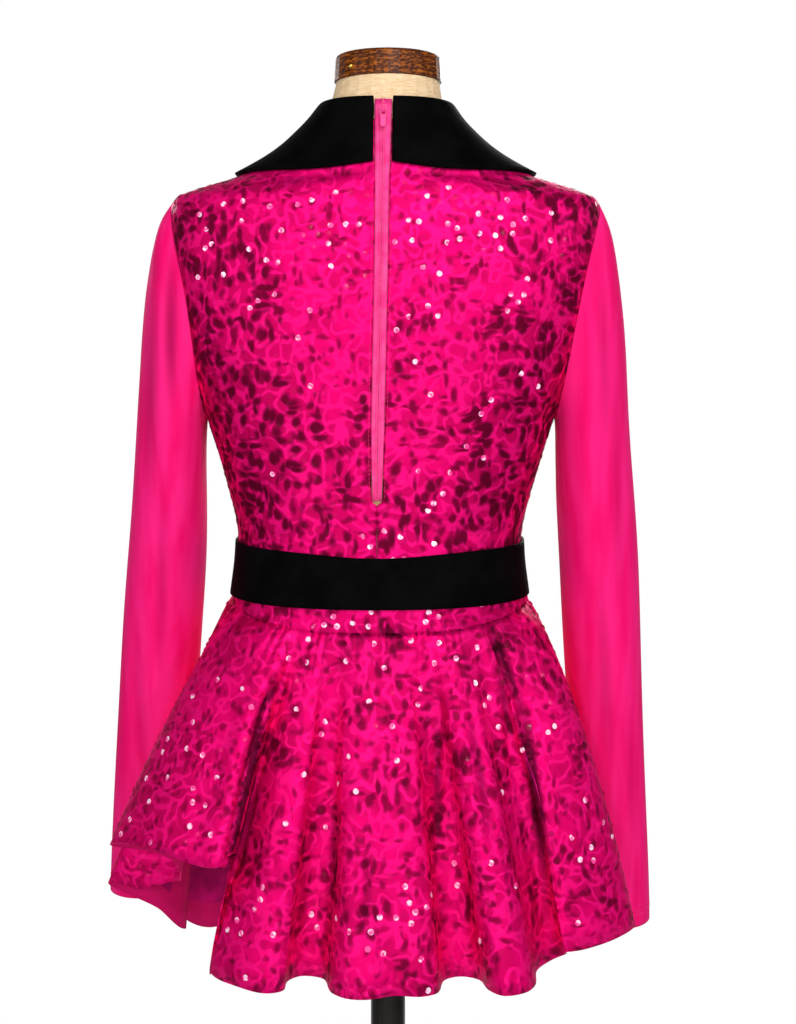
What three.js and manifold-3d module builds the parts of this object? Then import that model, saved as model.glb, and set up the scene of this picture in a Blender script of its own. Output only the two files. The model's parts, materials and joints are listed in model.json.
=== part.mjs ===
// Jazz dance bodysuit with a flared skirt, worn by a limbless dress form on a floor stand.
// Millimetres, +Z up, +Y is the wearer's front, +X is the wearer's right.
// The origin is the middle of the stand's underside, on the floor.
import * as THREE from "three";
import { mergeVertices } from "three/addons/utils/BufferGeometryUtils.js";
import Module from "manifold-3d";

const wasm = await Module();
wasm.setup();

// ---------------------------------------------------------------- driving dimensions

const SEAM_GAP = 0.3;
const LAYER_GAP = 0.9;
const FORM_EASE = 1.9;
const SHOULDER_EASE = { most: 2.8, z: 1367, height: 18 };
const BODICE_CLOTH = 1.5;
const SLEEVE_CLOTH = 1.1;
const SKIRT_CLOTH = 1.2;
const YOKE_CLOTH = 1.3;
const COLLAR_CLOTH = 1.8;
const BELT_CLOTH = 2;

const NECK_TOP_Z = 1466;
const NECKLINE_Z = 1424;
const WAIST_SEAM_Z = 1034;
const FORM_BOTTOM_Z = 850;

const ARMHOLE = { middleZ: 1263.5, halfHeight: 97.5, halfDepth: 46, steps: 10 };

const COLLAR = { foldZ: 1442, standFootZ: 1427, backEdgeZ: 1385, sideEdgeZ: 1378, pointZ: 1318 };
const COLLAR_LIFT = { stand: 3.2, fall: 7, backEdge: 4.4, frontEdge: 6.4 };

const BRIEF = { legTopZ: 935, tabHalfTurn: 0.34, hipEase: 1.7, easeTopZ: 1000, easeHeight: 40 };
const BELT = { topZ: 1057, bottomZ: 1009.5, backDip: 5, dipHalfWidth: 60 };
const YOKE = { topZ: 1024, backSeamZ: 989, sideSeamZ: 1005 };

const ZIP = { topZ: 1441, bottomZ: 1100, closedZ: 1096, tape: 1, coilRaise: 0.8, coilHalfWidth: 1.6, rows: 22 };
const SLIDER = { z: 1430, length: 13, topWidth: 7, bottomWidth: 5.4, plate: 2.2, standOff: 0.9 };
const BAIL = { width: 2.6, height: 4.2, topZ: 4, bottomZ: -3, wall: 1.1 };
const PULL = {
  width: 4.6, thickness: 1.2, reach: 17.5, barZ: 1, barLift: 1.3, barHalf: 0.6, rail: 0.75, windowEnd: 5.6,
};

const CAP = { bottomZ: 1466.4, edgeZ: 1489.5, crownZ: 1494, bottomRadius: 48.4, topRadius: 47.2, round: 4 };
const CAP_PIN = { x: -33, z: 1474.5, headRadius: 2.6, headHeight: 1.6 };
const POLE = { radius: 15.4, bottomZ: 26 };
const BASE = { radius: 190, thickness: 14, edgeRound: 5, socketRadius: 26, socketTopZ: 60 };

// Level sections of the dress form from neck to hip. half is the half width about the section's own
// middle, back and front are its depths from Y = 0, and square is its outline's exponent.
const FORM_SECTIONS = [
  { z: 1466, middle: 0, half: 48.2, back: 50, front: 46, square: 2 },
  { z: 1446, middle: -1, half: 52, back: 53, front: 49, square: 2 },
  { z: 1434, middle: -1.5, half: 59, back: 57, front: 52, square: 2.05 },
  { z: 1421, middle: -2, half: 71, back: 62, front: 55, square: 2.1 },
  { z: 1406, middle: -2, half: 87, back: 68, front: 60, square: 2.15 },
  { z: 1388, middle: -2, half: 114, back: 75, front: 67, square: 2.2 },
  { z: 1377, middle: -2, half: 135, back: 79, front: 71, square: 2.3 },
  { z: 1370, middle: -2, half: 158, back: 81.5, front: 74, square: 2.35 },
  { z: 1362.5, middle: -2, half: 181, back: 84, front: 78, square: 2.4 },
  { z: 1356, middle: -2, half: 189, back: 86, front: 81, square: 2.45 },
  { z: 1340, middle: -2.5, half: 191, back: 89, front: 87, square: 2.5 },
  { z: 1300, middle: -3.5, half: 188, back: 92, front: 99, square: 2.5 },
  { z: 1263, middle: -4, half: 182, back: 93, front: 109, square: 2.5 },
  { z: 1225, middle: -5, half: 173, back: 92.5, front: 114, square: 2.5 },
  { z: 1190, middle: -6, half: 162, back: 92, front: 110, square: 2.45 },
  { z: 1166, middle: -6.3, half: 153.8, back: 91.5, front: 103, square: 2.4 },
  { z: 1121, middle: -6.6, half: 139.5, back: 91, front: 89, square: 2.35 },
  { z: 1091, middle: -6.9, half: 131, back: 91, front: 81, square: 2.3 },
  { z: 1060, middle: -7.2, half: 124.6, back: 92, front: 76, square: 2.3 },
  { z: 1035, middle: -7.3, half: 124.4, back: 92.5, front: 75, square: 2.3 },
  { z: 1010, middle: -7.3, half: 127, back: 93, front: 76, square: 2.3 },
  { z: 980, middle: -7, half: 131, back: 95, front: 80, square: 2.3 },
  { z: 940, middle: -6, half: 134, back: 96.5, front: 84, square: 2.3 },
  { z: 895, middle: -5, half: 136, back: 96.5, front: 85, square: 2.3 },
  { z: 862, middle: -4, half: 133, back: 93, front: 82, square: 2.3 },
  { z: 850, middle: -4, half: 127, back: 88, front: 78, square: 2.3 },
];

// The centre back line, which the zip and the collar's parting follow.
const CENTRE_BACK = [
  { z: 1446, x: -3.4 },
  { z: 1385, x: -4.2 },
  { z: 1310, x: -5 },
  { z: 1086, x: -8.6 },
  { z: 840, x: -6 },
];

// Half the width of the zip's two tapes together, down its length.
const ZIP_HALF_WIDTHS = [
  { z: 1445, half: 7 },
  { z: 1390, half: 6.6 },
  { z: 1370, half: 5.8 },
  { z: 1310, half: 5.6 },
  { z: 1160, half: 5.3 },
  { z: 1100, half: 3.7 },
];

// Slanted rings of each sleeve from the armhole to the cuff: the outermost and innermost point of
// the ring, how far forward its middle hangs and its half depth.
const SLEEVE_LEFT = [
  { outX: -195, outZ: 1361, inX: -162, inZ: 1166, forward: 0, halfDepth: 46 },
  { outX: -204, outZ: 1346, inX: -163, inZ: 1161, forward: 1, halfDepth: 48 },
  { outX: -210, outZ: 1324, inX: -163.5, inZ: 1154, forward: 2, halfDepth: 49 },
  { outX: -215.5, outZ: 1294, inX: -164, inZ: 1144, forward: 3, halfDepth: 49 },
  { outX: -220, outZ: 1255, inX: -164.5, inZ: 1130, forward: 5, halfDepth: 48 },
  { outX: -223.5, outZ: 1210, inX: -164.8, inZ: 1110, forward: 8, halfDepth: 47 },
  { outX: -228, outZ: 1150, inX: -165, inZ: 1080, forward: 13, halfDepth: 45 },
  { outX: -234.5, outZ: 1075, inX: -167, inZ: 1030, forward: 23, halfDepth: 43 },
  { outX: -242.6, outZ: 995, inX: -172, inZ: 968, forward: 33, halfDepth: 40 },
  { outX: -249, outZ: 910, inX: -178, inZ: 898, forward: 42, halfDepth: 37 },
  { outX: -255, outZ: 825, inX: -187, inZ: 820, forward: 50, halfDepth: 34 },
  { outX: -258.7, outZ: 763, inX: -196, inZ: 761, forward: 55, halfDepth: 31 },
  { outX: -260.6, outZ: 722, inX: -202, inZ: 721, forward: 58, halfDepth: 30 },
];
const SLEEVE_RIGHT = [
  { outX: 191.2, outZ: 1361, inX: 149.4, inZ: 1166, forward: 0, halfDepth: 46 },
  { outX: 196, outZ: 1350, inX: 150.5, inZ: 1161, forward: 1, halfDepth: 48 },
  { outX: 201.5, outZ: 1332, inX: 151, inZ: 1154, forward: 2, halfDepth: 49 },
  { outX: 206.3, outZ: 1304, inX: 151.2, inZ: 1144, forward: 3, halfDepth: 49 },
  { outX: 210.5, outZ: 1268, inX: 151.5, inZ: 1130, forward: 4, halfDepth: 48 },
  { outX: 214.5, outZ: 1222, inX: 152, inZ: 1110, forward: 6, halfDepth: 47 },
  { outX: 218, outZ: 1155, inX: 153, inZ: 1082, forward: 9, halfDepth: 45 },
  { outX: 224, outZ: 1080, inX: 155.5, inZ: 1036, forward: 12, halfDepth: 43 },
  { outX: 228.3, outZ: 1008, inX: 158.6, inZ: 980, forward: 16, halfDepth: 40 },
  { outX: 231.5, outZ: 912, inX: 164, inZ: 900, forward: 20, halfDepth: 37 },
  { outX: 235.5, outZ: 815, inX: 173, inZ: 810, forward: 23, halfDepth: 34 },
  { outX: 239, outZ: 745, inX: 184, inZ: 743, forward: 28, halfDepth: 30 },
  { outX: 240, outZ: 706, inX: 189, inZ: 703, forward: 30, halfDepth: 29 },
];

// The skirt's folds, a row for each crest, trough or turn, going round from the centre back by the
// wearer's left. turn is the place on the waist seam in degrees, x, y and z its place on the hem,
// and belly how far the cloth bows out between the two.
const LEFT_FOLDS = [
  { turn: 0, x: 6, y: -163, z: 717, belly: 0.06 },
  { turn: 6, x: -14, y: -170, z: 717, belly: 0.06 },
  { turn: 11, x: -32, y: -168, z: 717, belly: 0.06 },
  { turn: 15, x: -45, y: -155, z: 717, belly: 0.06 },
  { turn: 18, x: -51, y: -135, z: 718, belly: 0.06 },
  { turn: 21, x: -69, y: -129, z: 718, belly: 0.06 },
  { turn: 24, x: -80, y: -142, z: 719, belly: 0.06 },
  { turn: 26, x: -82, y: -158, z: 719, belly: 0.06 },
  { turn: 29, x: -98, y: -163, z: 719, belly: 0.08 },
  { turn: 32, x: -122, y: -151, z: 720, belly: 0.08 },
  { turn: 34.5, x: -143, y: -130, z: 721, belly: 0.08 },
  { turn: 37, x: -141, y: -122, z: 740, belly: 0.06 },
  { turn: 39, x: -131, y: -133, z: 785, belly: 0.06 },
  { turn: 41, x: -123, y: -148, z: 815, belly: 0.08 },
  { turn: 44, x: -131, y: -160, z: 818, belly: 0.14 },
  { turn: 49, x: -157, y: -151, z: 817, belly: 0.2 },
  { turn: 55, x: -181, y: -136, z: 821, belly: 0.24 },
  { turn: 62, x: -205, y: -117, z: 820, belly: 0.26 },
  { turn: 70, x: -229, y: -94, z: 814, belly: 0.24 },
  { turn: 74, x: -232, y: -78, z: 806, belly: 0.2 },
  { turn: 78, x: -206, y: -68, z: 799, belly: 0.16 },
  { turn: 81, x: -184, y: -60, z: 787, belly: 0.14 },
  { turn: 83, x: -180, y: -50, z: 768, belly: 0.14 },
  { turn: 85, x: -190, y: -41, z: 762, belly: 0.14 },
  { turn: 88, x: -216, y: -35, z: 754, belly: 0.14 },
  { turn: 91, x: -243, y: -28, z: 757, belly: 0.14 },
  { turn: 93, x: -246, y: -17, z: 750, belly: 0.12 },
  { turn: 96, x: -223, y: -11, z: 737, belly: 0.14 },
  { turn: 98, x: -199, y: -6, z: 725, belly: 0.2 },
  { turn: 100, x: -181, y: 1, z: 711, belly: 0.26 },
  { turn: 102, x: -167, y: 13, z: 700, belly: 0.36 },
];
const RIGHT_FOLDS = [
  { turn: -6, x: 26, y: -165, z: 717, belly: 0.06 },
  { turn: -12, x: 41, y: -157, z: 717, belly: 0.06 },
  { turn: -15, x: 46, y: -138, z: 718, belly: 0.06 },
  { turn: -19, x: 60, y: -130, z: 718, belly: 0.06 },
  { turn: -23, x: 75, y: -137, z: 718, belly: 0.1 },
  { turn: -26, x: 80, y: -158, z: 720, belly: 0.12 },
  { turn: -29, x: 92, y: -170, z: 720, belly: 0.14 },
  { turn: -33, x: 110, y: -166, z: 721, belly: 0.14 },
  { turn: -37, x: 119, y: -152, z: 722, belly: 0.16 },
  { turn: -40, x: 122, y: -128, z: 722, belly: 0.18 },
  { turn: -43, x: 136, y: -112, z: 724, belly: 0.2 },
  { turn: -46, x: 146, y: -118, z: 731, belly: 0.22 },
  { turn: -49, x: 144, y: -131, z: 738, belly: 0.28 },
  { turn: -54, x: 158, y: -129, z: 739, belly: 0.32 },
  { turn: -61, x: 181, y: -118, z: 741, belly: 0.38 },
  { turn: -69, x: 202, y: -100, z: 743, belly: 0.42 },
  { turn: -76, x: 208, y: -82, z: 742, belly: 0.42 },
  { turn: -82, x: 192, y: -66, z: 736, belly: 0.4 },
  { turn: -87, x: 174, y: -52, z: 727, belly: 0.36 },
  { turn: -91, x: 175, y: -38, z: 719, belly: 0.32 },
  { turn: -95, x: 188, y: -24, z: 714, belly: 0.28 },
  { turn: -99, x: 180, y: -10, z: 712, belly: 0.24 },
];
// The plain waves of the front hem, between the two side seams.
const FRONT_WAVES = {
  count: 7,
  rowsPerWave: 4,
  firstTurn: 103,
  lastTurn: 261,
  firstSweep: 96,
  lastSweep: 267,
  middleX: -5,
  halfWidth: 176,
  depth: 150,
  waveDepth: { side: 8, front: 17 },
  hemZ: 714,
  belly: 0.34,
};
const SKIRT_ROWS = 7;
const SKIRT_ROW_SPREAD = 1.4;
const COLUMNS_PER_FOLD = 2;

// ---------------------------------------------------------------- curves and surfaces

// A smooth curve through points with rising x that never overshoots them.
function monotone(xs, ys) {
  const slopes = xs.slice(1).map((x, i) => (ys[i + 1] - ys[i]) / (x - xs[i]));
  const tangents = xs.map((_, i) => {
    if (i === 0) return slopes[0];
    if (i === xs.length - 1) return slopes[i - 1];
    const [before, after] = [slopes[i - 1], slopes[i]];
    return before * after <= 0 ? 0 : (2 * before * after) / (before + after);
  });
  return (x) => {
    let i = 0;
    while (i < xs.length - 2 && x > xs[i + 1]) i++;
    const width = xs[i + 1] - xs[i];
    const t = THREE.MathUtils.clamp((x - xs[i]) / width, 0, 1);
    const [t2, t3] = [t * t, t * t * t];
    return (
      ys[i] * (2 * t3 - 3 * t2 + 1) +
      tangents[i] * width * (t3 - 2 * t2 + t) +
      ys[i + 1] * (3 * t2 - 2 * t3) +
      tangents[i + 1] * width * (t3 - t2)
    );
  };
}

// One smooth function for each column of a table, of its column called key.
function tableCurves(rows, key, names) {
  const sorted = [...rows].sort((a, b) => a[key] - b[key]);
  const xs = sorted.map((row) => row[key]);
  const curves = {};
  for (const name of names) curves[name] = monotone(xs, sorted.map((row) => row[name]));
  return curves;
}

const section = tableCurves(FORM_SECTIONS, "z", ["middle", "half", "back", "front", "square"]);
const centreBackX = tableCurves(CENTRE_BACK, "z", ["x"]).x;
const zipHalf = tableCurves(ZIP_HALF_WIDTHS, "z", ["half"]).half;

// A point of the dress form at a height, at a turn from the back (0) by the wearer's left (a quarter).
function formSurface(turn, z) {
  const side = -Math.sin(turn);
  const out = -Math.cos(turn);
  const depth = out < 0 ? section.back(z) : section.front(z);
  const n = section.square(z);
  const reach = (Math.abs(side) / section.half(z)) ** n + (Math.abs(out) / depth) ** n;
  const radius = reach ** (-1 / n);
  return new THREE.Vector3(section.middle(z) + side * radius, out * radius, z);
}

// The same point, lifted off the form along its normal.
function formPoint(turn, z, lift) {
  const [dTurn, dZ] = [0.01, 0.4];
  const around = formSurface(turn + dTurn, z).sub(formSurface(turn - dTurn, z));
  const up = formSurface(turn, z + dZ).sub(formSurface(turn, z - dZ));
  const normal = up.cross(around).normalize();
  return formSurface(turn, z).addScaledVector(normal, lift);
}

// The turn at which a coordinate of the form's section reaches a value, between two turns.
function turnWhere(axis, value, z, from, to) {
  let [low, high] = [from, to];
  const rising = formSurface(to, z)[axis] > formSurface(from, z)[axis];
  for (let step = 0; step < 40; step++) {
    const middle = (low + high) / 2;
    if (formSurface(middle, z)[axis] < value === rising) low = middle;
    else high = middle;
  }
  return (low + high) / 2;
}

const QUARTER = Math.PI / 2;
const blend = (a, b, t) => a + (b - a) * t;
const smooth = (t) => THREE.MathUtils.smoothstep(t, 0, 1);
const steps = (count) => Array.from({ length: count + 1 }, (_, i) => i / count);

// Columns stand closer at the figure's sides, where its outline is tightest.
const CROWDING = 0.4;
const crowdedAtEnd = (t) => t + (CROWDING * Math.sin(Math.PI * t)) / Math.PI;
const crowdedAtEnds = (t) => t - (CROWDING * Math.sin(2 * Math.PI * t)) / (2 * Math.PI);
const turnsAround = (count) =>
  steps(count).slice(0, -1).map((t) => 4 * QUARTER * t + (CROWDING / 2) * Math.sin(8 * QUARTER * t));

// ---------------------------------------------------------------- solids

function geometryOf(points, triangles) {
  const geometry = new THREE.BufferGeometry();
  geometry.setAttribute("position", new THREE.Float32BufferAttribute(points.flatMap((p) => p.toArray()), 3));
  geometry.setIndex(triangles);
  geometry.computeVertexNormals();
  return geometry;
}

// A closed cloth wall on a grid of points, grid[row][column], its columns open or closed to a tube.
// The right side is at lift from the points along their normals, and the wall lies behind it.
function wall(grid, thickness, { closed = false, lift = 0, raise = () => 0 } = {}) {
  const rows = grid.length;
  const columns = grid[0].length;
  const at = (row, column) => {
    const c = closed ? (column + columns) % columns : THREE.MathUtils.clamp(column, 0, columns - 1);
    return grid[THREE.MathUtils.clamp(row, 0, rows - 1)][c];
  };
  const right = [];
  const wrong = [];
  for (let row = 0; row < rows; row++)
    for (let column = 0; column < columns; column++) {
      const along = at(row, column + 1).clone().sub(at(row, column - 1));
      const down = at(row + 1, column).clone().sub(at(row - 1, column));
      const normal = along.cross(down).normalize();
      const top = lift + raise(row, column);
      right.push(at(row, column).clone().addScaledVector(normal, top));
      wrong.push(at(row, column).clone().addScaledVector(normal, lift - thickness));
    }
  const points = [...right, ...wrong];
  const triangles = [];
  const quad = (a, b, c, d) => triangles.push(a, b, c, a, c, d);
  const index = (row, column, layer) => layer * rows * columns + row * columns + (column % columns);
  const lastColumn = closed ? columns : columns - 1;
  for (let row = 0; row < rows - 1; row++)
    for (let column = 0; column < lastColumn; column++)
      for (const layer of [0, 1]) {
        const corners = [
          index(row, column, layer),
          index(row, column + 1, layer),
          index(row + 1, column + 1, layer),
          index(row + 1, column, layer),
        ];
        quad(...(layer ? corners.reverse() : corners));
      }
  for (let column = 0; column < lastColumn; column++) {
    quad(index(0, column, 1), index(0, column + 1, 1), index(0, column + 1, 0), index(0, column, 0));
    const end = rows - 1;
    quad(index(end, column, 0), index(end, column + 1, 0), index(end, column + 1, 1), index(end, column, 1));
  }
  if (!closed)
    for (let row = 0; row < rows - 1; row++) {
      const end = columns - 1;
      quad(index(row, 0, 0), index(row + 1, 0, 0), index(row + 1, 0, 1), index(row, 0, 1));
      quad(index(row, end, 1), index(row + 1, end, 1), index(row + 1, end, 0), index(row, end, 0));
    }
  return geometryOf(points, triangles);
}

// A closed solid through level rings of points that run clockwise from above, the highest first.
function loft(rings) {
  const count = rings[0].length;
  const points = rings.flat();
  const triangles = [];
  for (let ring = 0; ring < rings.length - 1; ring++)
    for (let i = 0; i < count; i++) {
      const [a, b] = [ring * count + i, ring * count + ((i + 1) % count)];
      triangles.push(a, b, b + count, a, b + count, a + count);
    }
  for (const [ring, top] of [[0, true], [rings.length - 1, false]]) {
    const middle = points.length;
    const centre = new THREE.Vector3();
    for (const p of rings[ring]) centre.addScaledVector(p, 1 / count);
    points.push(centre);
    for (let i = 0; i < count; i++) {
      const [a, b] = [ring * count + i, ring * count + ((i + 1) % count)];
      triangles.push(...(top ? [middle, b, a] : [middle, a, b]));
    }
  }
  return geometryOf(points, triangles);
}

function toManifold(geometry) {
  const bare = geometry.clone();
  bare.deleteAttribute("normal");
  bare.deleteAttribute("uv");
  const merged = mergeVertices(bare, 1e-4);
  const index = merged.index.array;
  return new wasm.Manifold(
    new wasm.Mesh({
      numProp: 3,
      vertProperties: new Float32Array(merged.attributes.position.array),
      triVerts: new Uint32Array(index),
    }),
  );
}

function fromManifold(solid) {
  const mesh = solid.getMesh();
  const geometry = new THREE.BufferGeometry();
  geometry.setAttribute("position", new THREE.BufferAttribute(mesh.vertProperties, 3));
  geometry.setIndex(new THREE.BufferAttribute(mesh.triVerts, 1));
  geometry.computeVertexNormals();
  return geometry;
}

// ---------------------------------------------------------------- materials

const finish = (color, roughness, metalness = 0) =>
  new THREE.MeshStandardMaterial({ color, roughness, metalness, side: THREE.DoubleSide });

const MATERIAL = {
  sequin: finish(0xe8087c, 0.35, 0.3),
  mesh: finish(0xf5107a, 0.6),
  black: finish(0x08080a, 0.8),
  zip: finish(0xff4f96, 0.5),
  pull: finish(0xff7ab4, 0.3, 0.4),
  linen: finish(0xeed9b4, 0.9),
  wood: finish(0x5c2a0c, 0.3),
  brass: finish(0xc9a24a, 0.3, 1),
  metal: finish(0x1c1a19, 0.35, 0.9),
};

const model = new THREE.Group();

function add(name, geometry, material, parent = model) {
  const mesh = new THREE.Mesh(geometry, material);
  mesh.name = name;
  parent.add(mesh);
  return mesh;
}

// ---------------------------------------------------------------- dress form and stand

// How far the form stays inside the garment's own surface.
const formEase = (z) =>
  FORM_EASE + SHOULDER_EASE.most * Math.exp(-(((z - SHOULDER_EASE.z) / SHOULDER_EASE.height) ** 2));

function buildForm() {
  const levels = [
    NECK_TOP_Z, 1446, 1430, 1412, 1394, 1380, 1371, 1363.5, 1356, 1335, 1300, 1255, 1210,
    1166, 1121, 1080, 1045, 1010, 975, 925, 880, FORM_BOTTOM_Z,
  ];
  const rings = levels.map((z) =>
    turnsAround(32).map((turn) => formPoint(turn, z, -formEase(z)).setZ(z)),
  );
  add("form_torso", loft(rings), MATERIAL.linen);
}

function buildCap() {
  const profile = new THREE.Path();
  profile.moveTo(0, CAP.bottomZ);
  profile.lineTo(CAP.bottomRadius, CAP.bottomZ);
  profile.lineTo(CAP.topRadius, CAP.edgeZ - CAP.round);
  profile.quadraticCurveTo(CAP.topRadius, CAP.edgeZ, CAP.topRadius - CAP.round, CAP.edgeZ);
  profile.quadraticCurveTo(CAP.topRadius / 2, CAP.crownZ, 0, CAP.crownZ);
  const cap = new THREE.LatheGeometry(profile.getPoints(4), 28);
  cap.rotateX(QUARTER);
  add("form_cap", cap, MATERIAL.wood);

  const middle = (CAP.bottomRadius + CAP.topRadius) / 2 + SEAM_GAP;
  const head = new THREE.LatheGeometry(
    [[0, 0], [CAP_PIN.headRadius, 0], [CAP_PIN.headRadius * 0.7, CAP_PIN.headHeight * 0.7], [0, CAP_PIN.headHeight]]
      .map(([x, y]) => new THREE.Vector2(x, y)),
    12,
  );
  const pin = add("cap_pin", head, MATERIAL.brass);
  const y = -Math.sqrt(middle ** 2 - CAP_PIN.x ** 2);
  pin.position.set(CAP_PIN.x, y, CAP_PIN.z);
  pin.quaternion.setFromUnitVectors(
    new THREE.Vector3(0, 1, 0),
    new THREE.Vector3(CAP_PIN.x, y, 0).normalize(),
  );
}

function buildStand() {
  const pole = new THREE.CylinderGeometry(
    POLE.radius, POLE.radius, FORM_BOTTOM_Z - SEAM_GAP - POLE.bottomZ, 24, 1,
  );
  pole.rotateX(QUARTER);
  pole.translate(0, 0, (FORM_BOTTOM_Z - SEAM_GAP + POLE.bottomZ) / 2);
  add("stand_pole", pole, MATERIAL.metal);

  const bore = POLE.radius + SEAM_GAP;
  const outline = [
    [0, 0],
    [BASE.radius, 0],
    [BASE.radius, BASE.thickness - BASE.edgeRound],
    [BASE.radius - BASE.edgeRound * 0.3, BASE.thickness - BASE.edgeRound * 0.3],
    [BASE.radius - BASE.edgeRound, BASE.thickness],
    [BASE.socketRadius + 8, BASE.thickness + 2],
    [BASE.socketRadius, BASE.thickness + 10],
    [BASE.socketRadius - 2, BASE.socketTopZ],
    [bore, BASE.socketTopZ],
    [bore, POLE.bottomZ - SEAM_GAP],
    [0, POLE.bottomZ - SEAM_GAP],
  ].map(([x, y]) => new THREE.Vector2(x, y));
  const base = new THREE.LatheGeometry(outline, 32);
  base.rotateX(QUARTER);
  add("stand_base", base, MATERIAL.metal);
}

// ---------------------------------------------------------------- bodice and brief

const armholeZ = (angle) => ARMHOLE.middleZ + ARMHOLE.halfHeight * Math.cos(angle);

// The turn of the bodice's edge at a height: shoulder seam, armhole or side seam.
function edgeTurn(z, side) {
  const offset = (z - ARMHOLE.middleZ) / ARMHOLE.halfHeight;
  if (Math.abs(offset) >= 1) return QUARTER;
  const depth = ARMHOLE.halfDepth * Math.sqrt(1 - offset * offset);
  return side < 0
    ? turnWhere("y", -depth, z, 0, QUARTER)
    : turnWhere("y", depth, z, QUARTER, 2 * QUARTER);
}

const BODICE_LEVELS = [
  NECKLINE_Z, 1406, 1388, 1377, 1369,
  ...steps(ARMHOLE.steps).map((t) => armholeZ(Math.PI * t)),
  1130, ZIP.bottomZ, ZIP.closedZ, 1078, 1056, WAIST_SEAM_Z + SEAM_GAP / 2,
];

// A turn moved by a distance along the section, for the gap of a seam.
const turnBy = (distance, z) => distance / Math.max(section.half(z) * 0.8, 40);

function seamTurn(z, side) {
  const inArmhole = Math.abs(z - ARMHOLE.middleZ) < ARMHOLE.halfHeight;
  return edgeTurn(z, side) + (inArmhole ? 0 : side * turnBy(SEAM_GAP / 2 + 0.1, z));
}

const bodiceLift = SEAM_GAP + BODICE_CLOTH;

function buildBodice() {
  const halves = [["bodice_back_left", 1], ["bodice_back_right", -1]];
  for (const [name, mirror] of halves) {
    const grid = BODICE_LEVELS.map((z) => {
      const half = z > ZIP.closedZ ? zipHalf(z) + SEAM_GAP : SEAM_GAP / 2;
      const start = turnWhere("x", centreBackX(z) - mirror * half, z, -QUARTER, QUARTER);
      const end = mirror * seamTurn(z, -1);
      const row = steps(9).map((t) => formPoint(blend(start, end, crowdedAtEnd(t)), z, 0));
      return mirror > 0 ? row : row.reverse();
    });
    add(name, wall(grid, BODICE_CLOTH, { lift: bodiceLift }), MATERIAL.sequin);
  }
  const front = BODICE_LEVELS.map((z) => {
    const edge = seamTurn(z, 1);
    return steps(16).map((t) => formPoint(blend(edge, 4 * QUARTER - edge, crowdedAtEnds(t)), z, 0));
  });
  add("bodice_front", wall(front, BODICE_CLOTH, { lift: bodiceLift }), MATERIAL.sequin);
}

// The brief below the waist seam: its leg line rises at the sides and leaves a tab at each middle.
function buildBrief() {
  const { legTopZ, tabHalfTurn } = BRIEF;
  const levels = [WAIST_SEAM_Z - SEAM_GAP / 2, 1000, 965, legTopZ, 928, 912, 890, 868, FORM_BOTTOM_Z + 3];
  for (const [name, middle] of [["brief_back", 0], ["brief_front", 2 * QUARTER]]) {
    const grid = levels.map((z) => {
      const leg = THREE.MathUtils.clamp((legTopZ - z) / (legTopZ - FORM_BOTTOM_Z - 3), 0, 1);
      const half = blend(QUARTER - turnBy(SEAM_GAP / 2 + 0.1, z), tabHalfTurn, leg ** 0.75);
      const ease = BRIEF.hipEase * smooth((BRIEF.easeTopZ - z) / BRIEF.easeHeight);
      return steps(16).map((t) => formPoint(middle + half * (2 * crowdedAtEnds(t) - 1), z, ease));
    });
    add(name, wall(grid, BODICE_CLOTH, { lift: bodiceLift }), MATERIAL.sequin);
  }
}

// ---------------------------------------------------------------- sleeves

// The armhole's own line on the form, the height falling from the top round by the back.
function armholePoint(angle, mirror) {
  const z = armholeZ(angle);
  const y = -ARMHOLE.halfDepth * Math.sin(angle);
  const turn = turnWhere("y", y, z, 0, 2 * QUARTER);
  const point = formPoint(mirror > 0 ? turn : -turn, z, bodiceLift);
  return point.add(new THREE.Vector3(-mirror * (SEAM_GAP + LAYER_GAP), 0, 0));
}

function sleeveGrid(rows, mirror) {
  const around = steps(2 * ARMHOLE.steps).slice(0, -1).map((t) => 2 * Math.PI * t);
  const ring = (row, angle) =>
    new THREE.Vector3(
      blend(row.inX, row.outX, (1 + Math.cos(angle)) / 2),
      row.forward - row.halfDepth * Math.sin(angle),
      blend(row.inZ, row.outZ, (1 + Math.cos(angle)) / 2),
    );
  const capRings = 4;
  return rows.map((row, i) => {
    const fade = 1 - smooth(i / capRings);
    const points = around.map((angle) => {
      const fit = armholePoint(angle, mirror).sub(ring(rows[0], angle));
      return ring(row, angle).addScaledVector(fit, fade);
    });
    return mirror > 0 ? points.reverse() : points;
  });
}

function buildSleeves() {
  const options = { closed: true };
  add("sleeve_left", wall(sleeveGrid(SLEEVE_LEFT, 1), SLEEVE_CLOTH, options), MATERIAL.mesh);
  add("sleeve_right", wall(sleeveGrid(SLEEVE_RIGHT, -1), SLEEVE_CLOTH, options), MATERIAL.mesh);
}

// ---------------------------------------------------------------- collar

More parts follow.
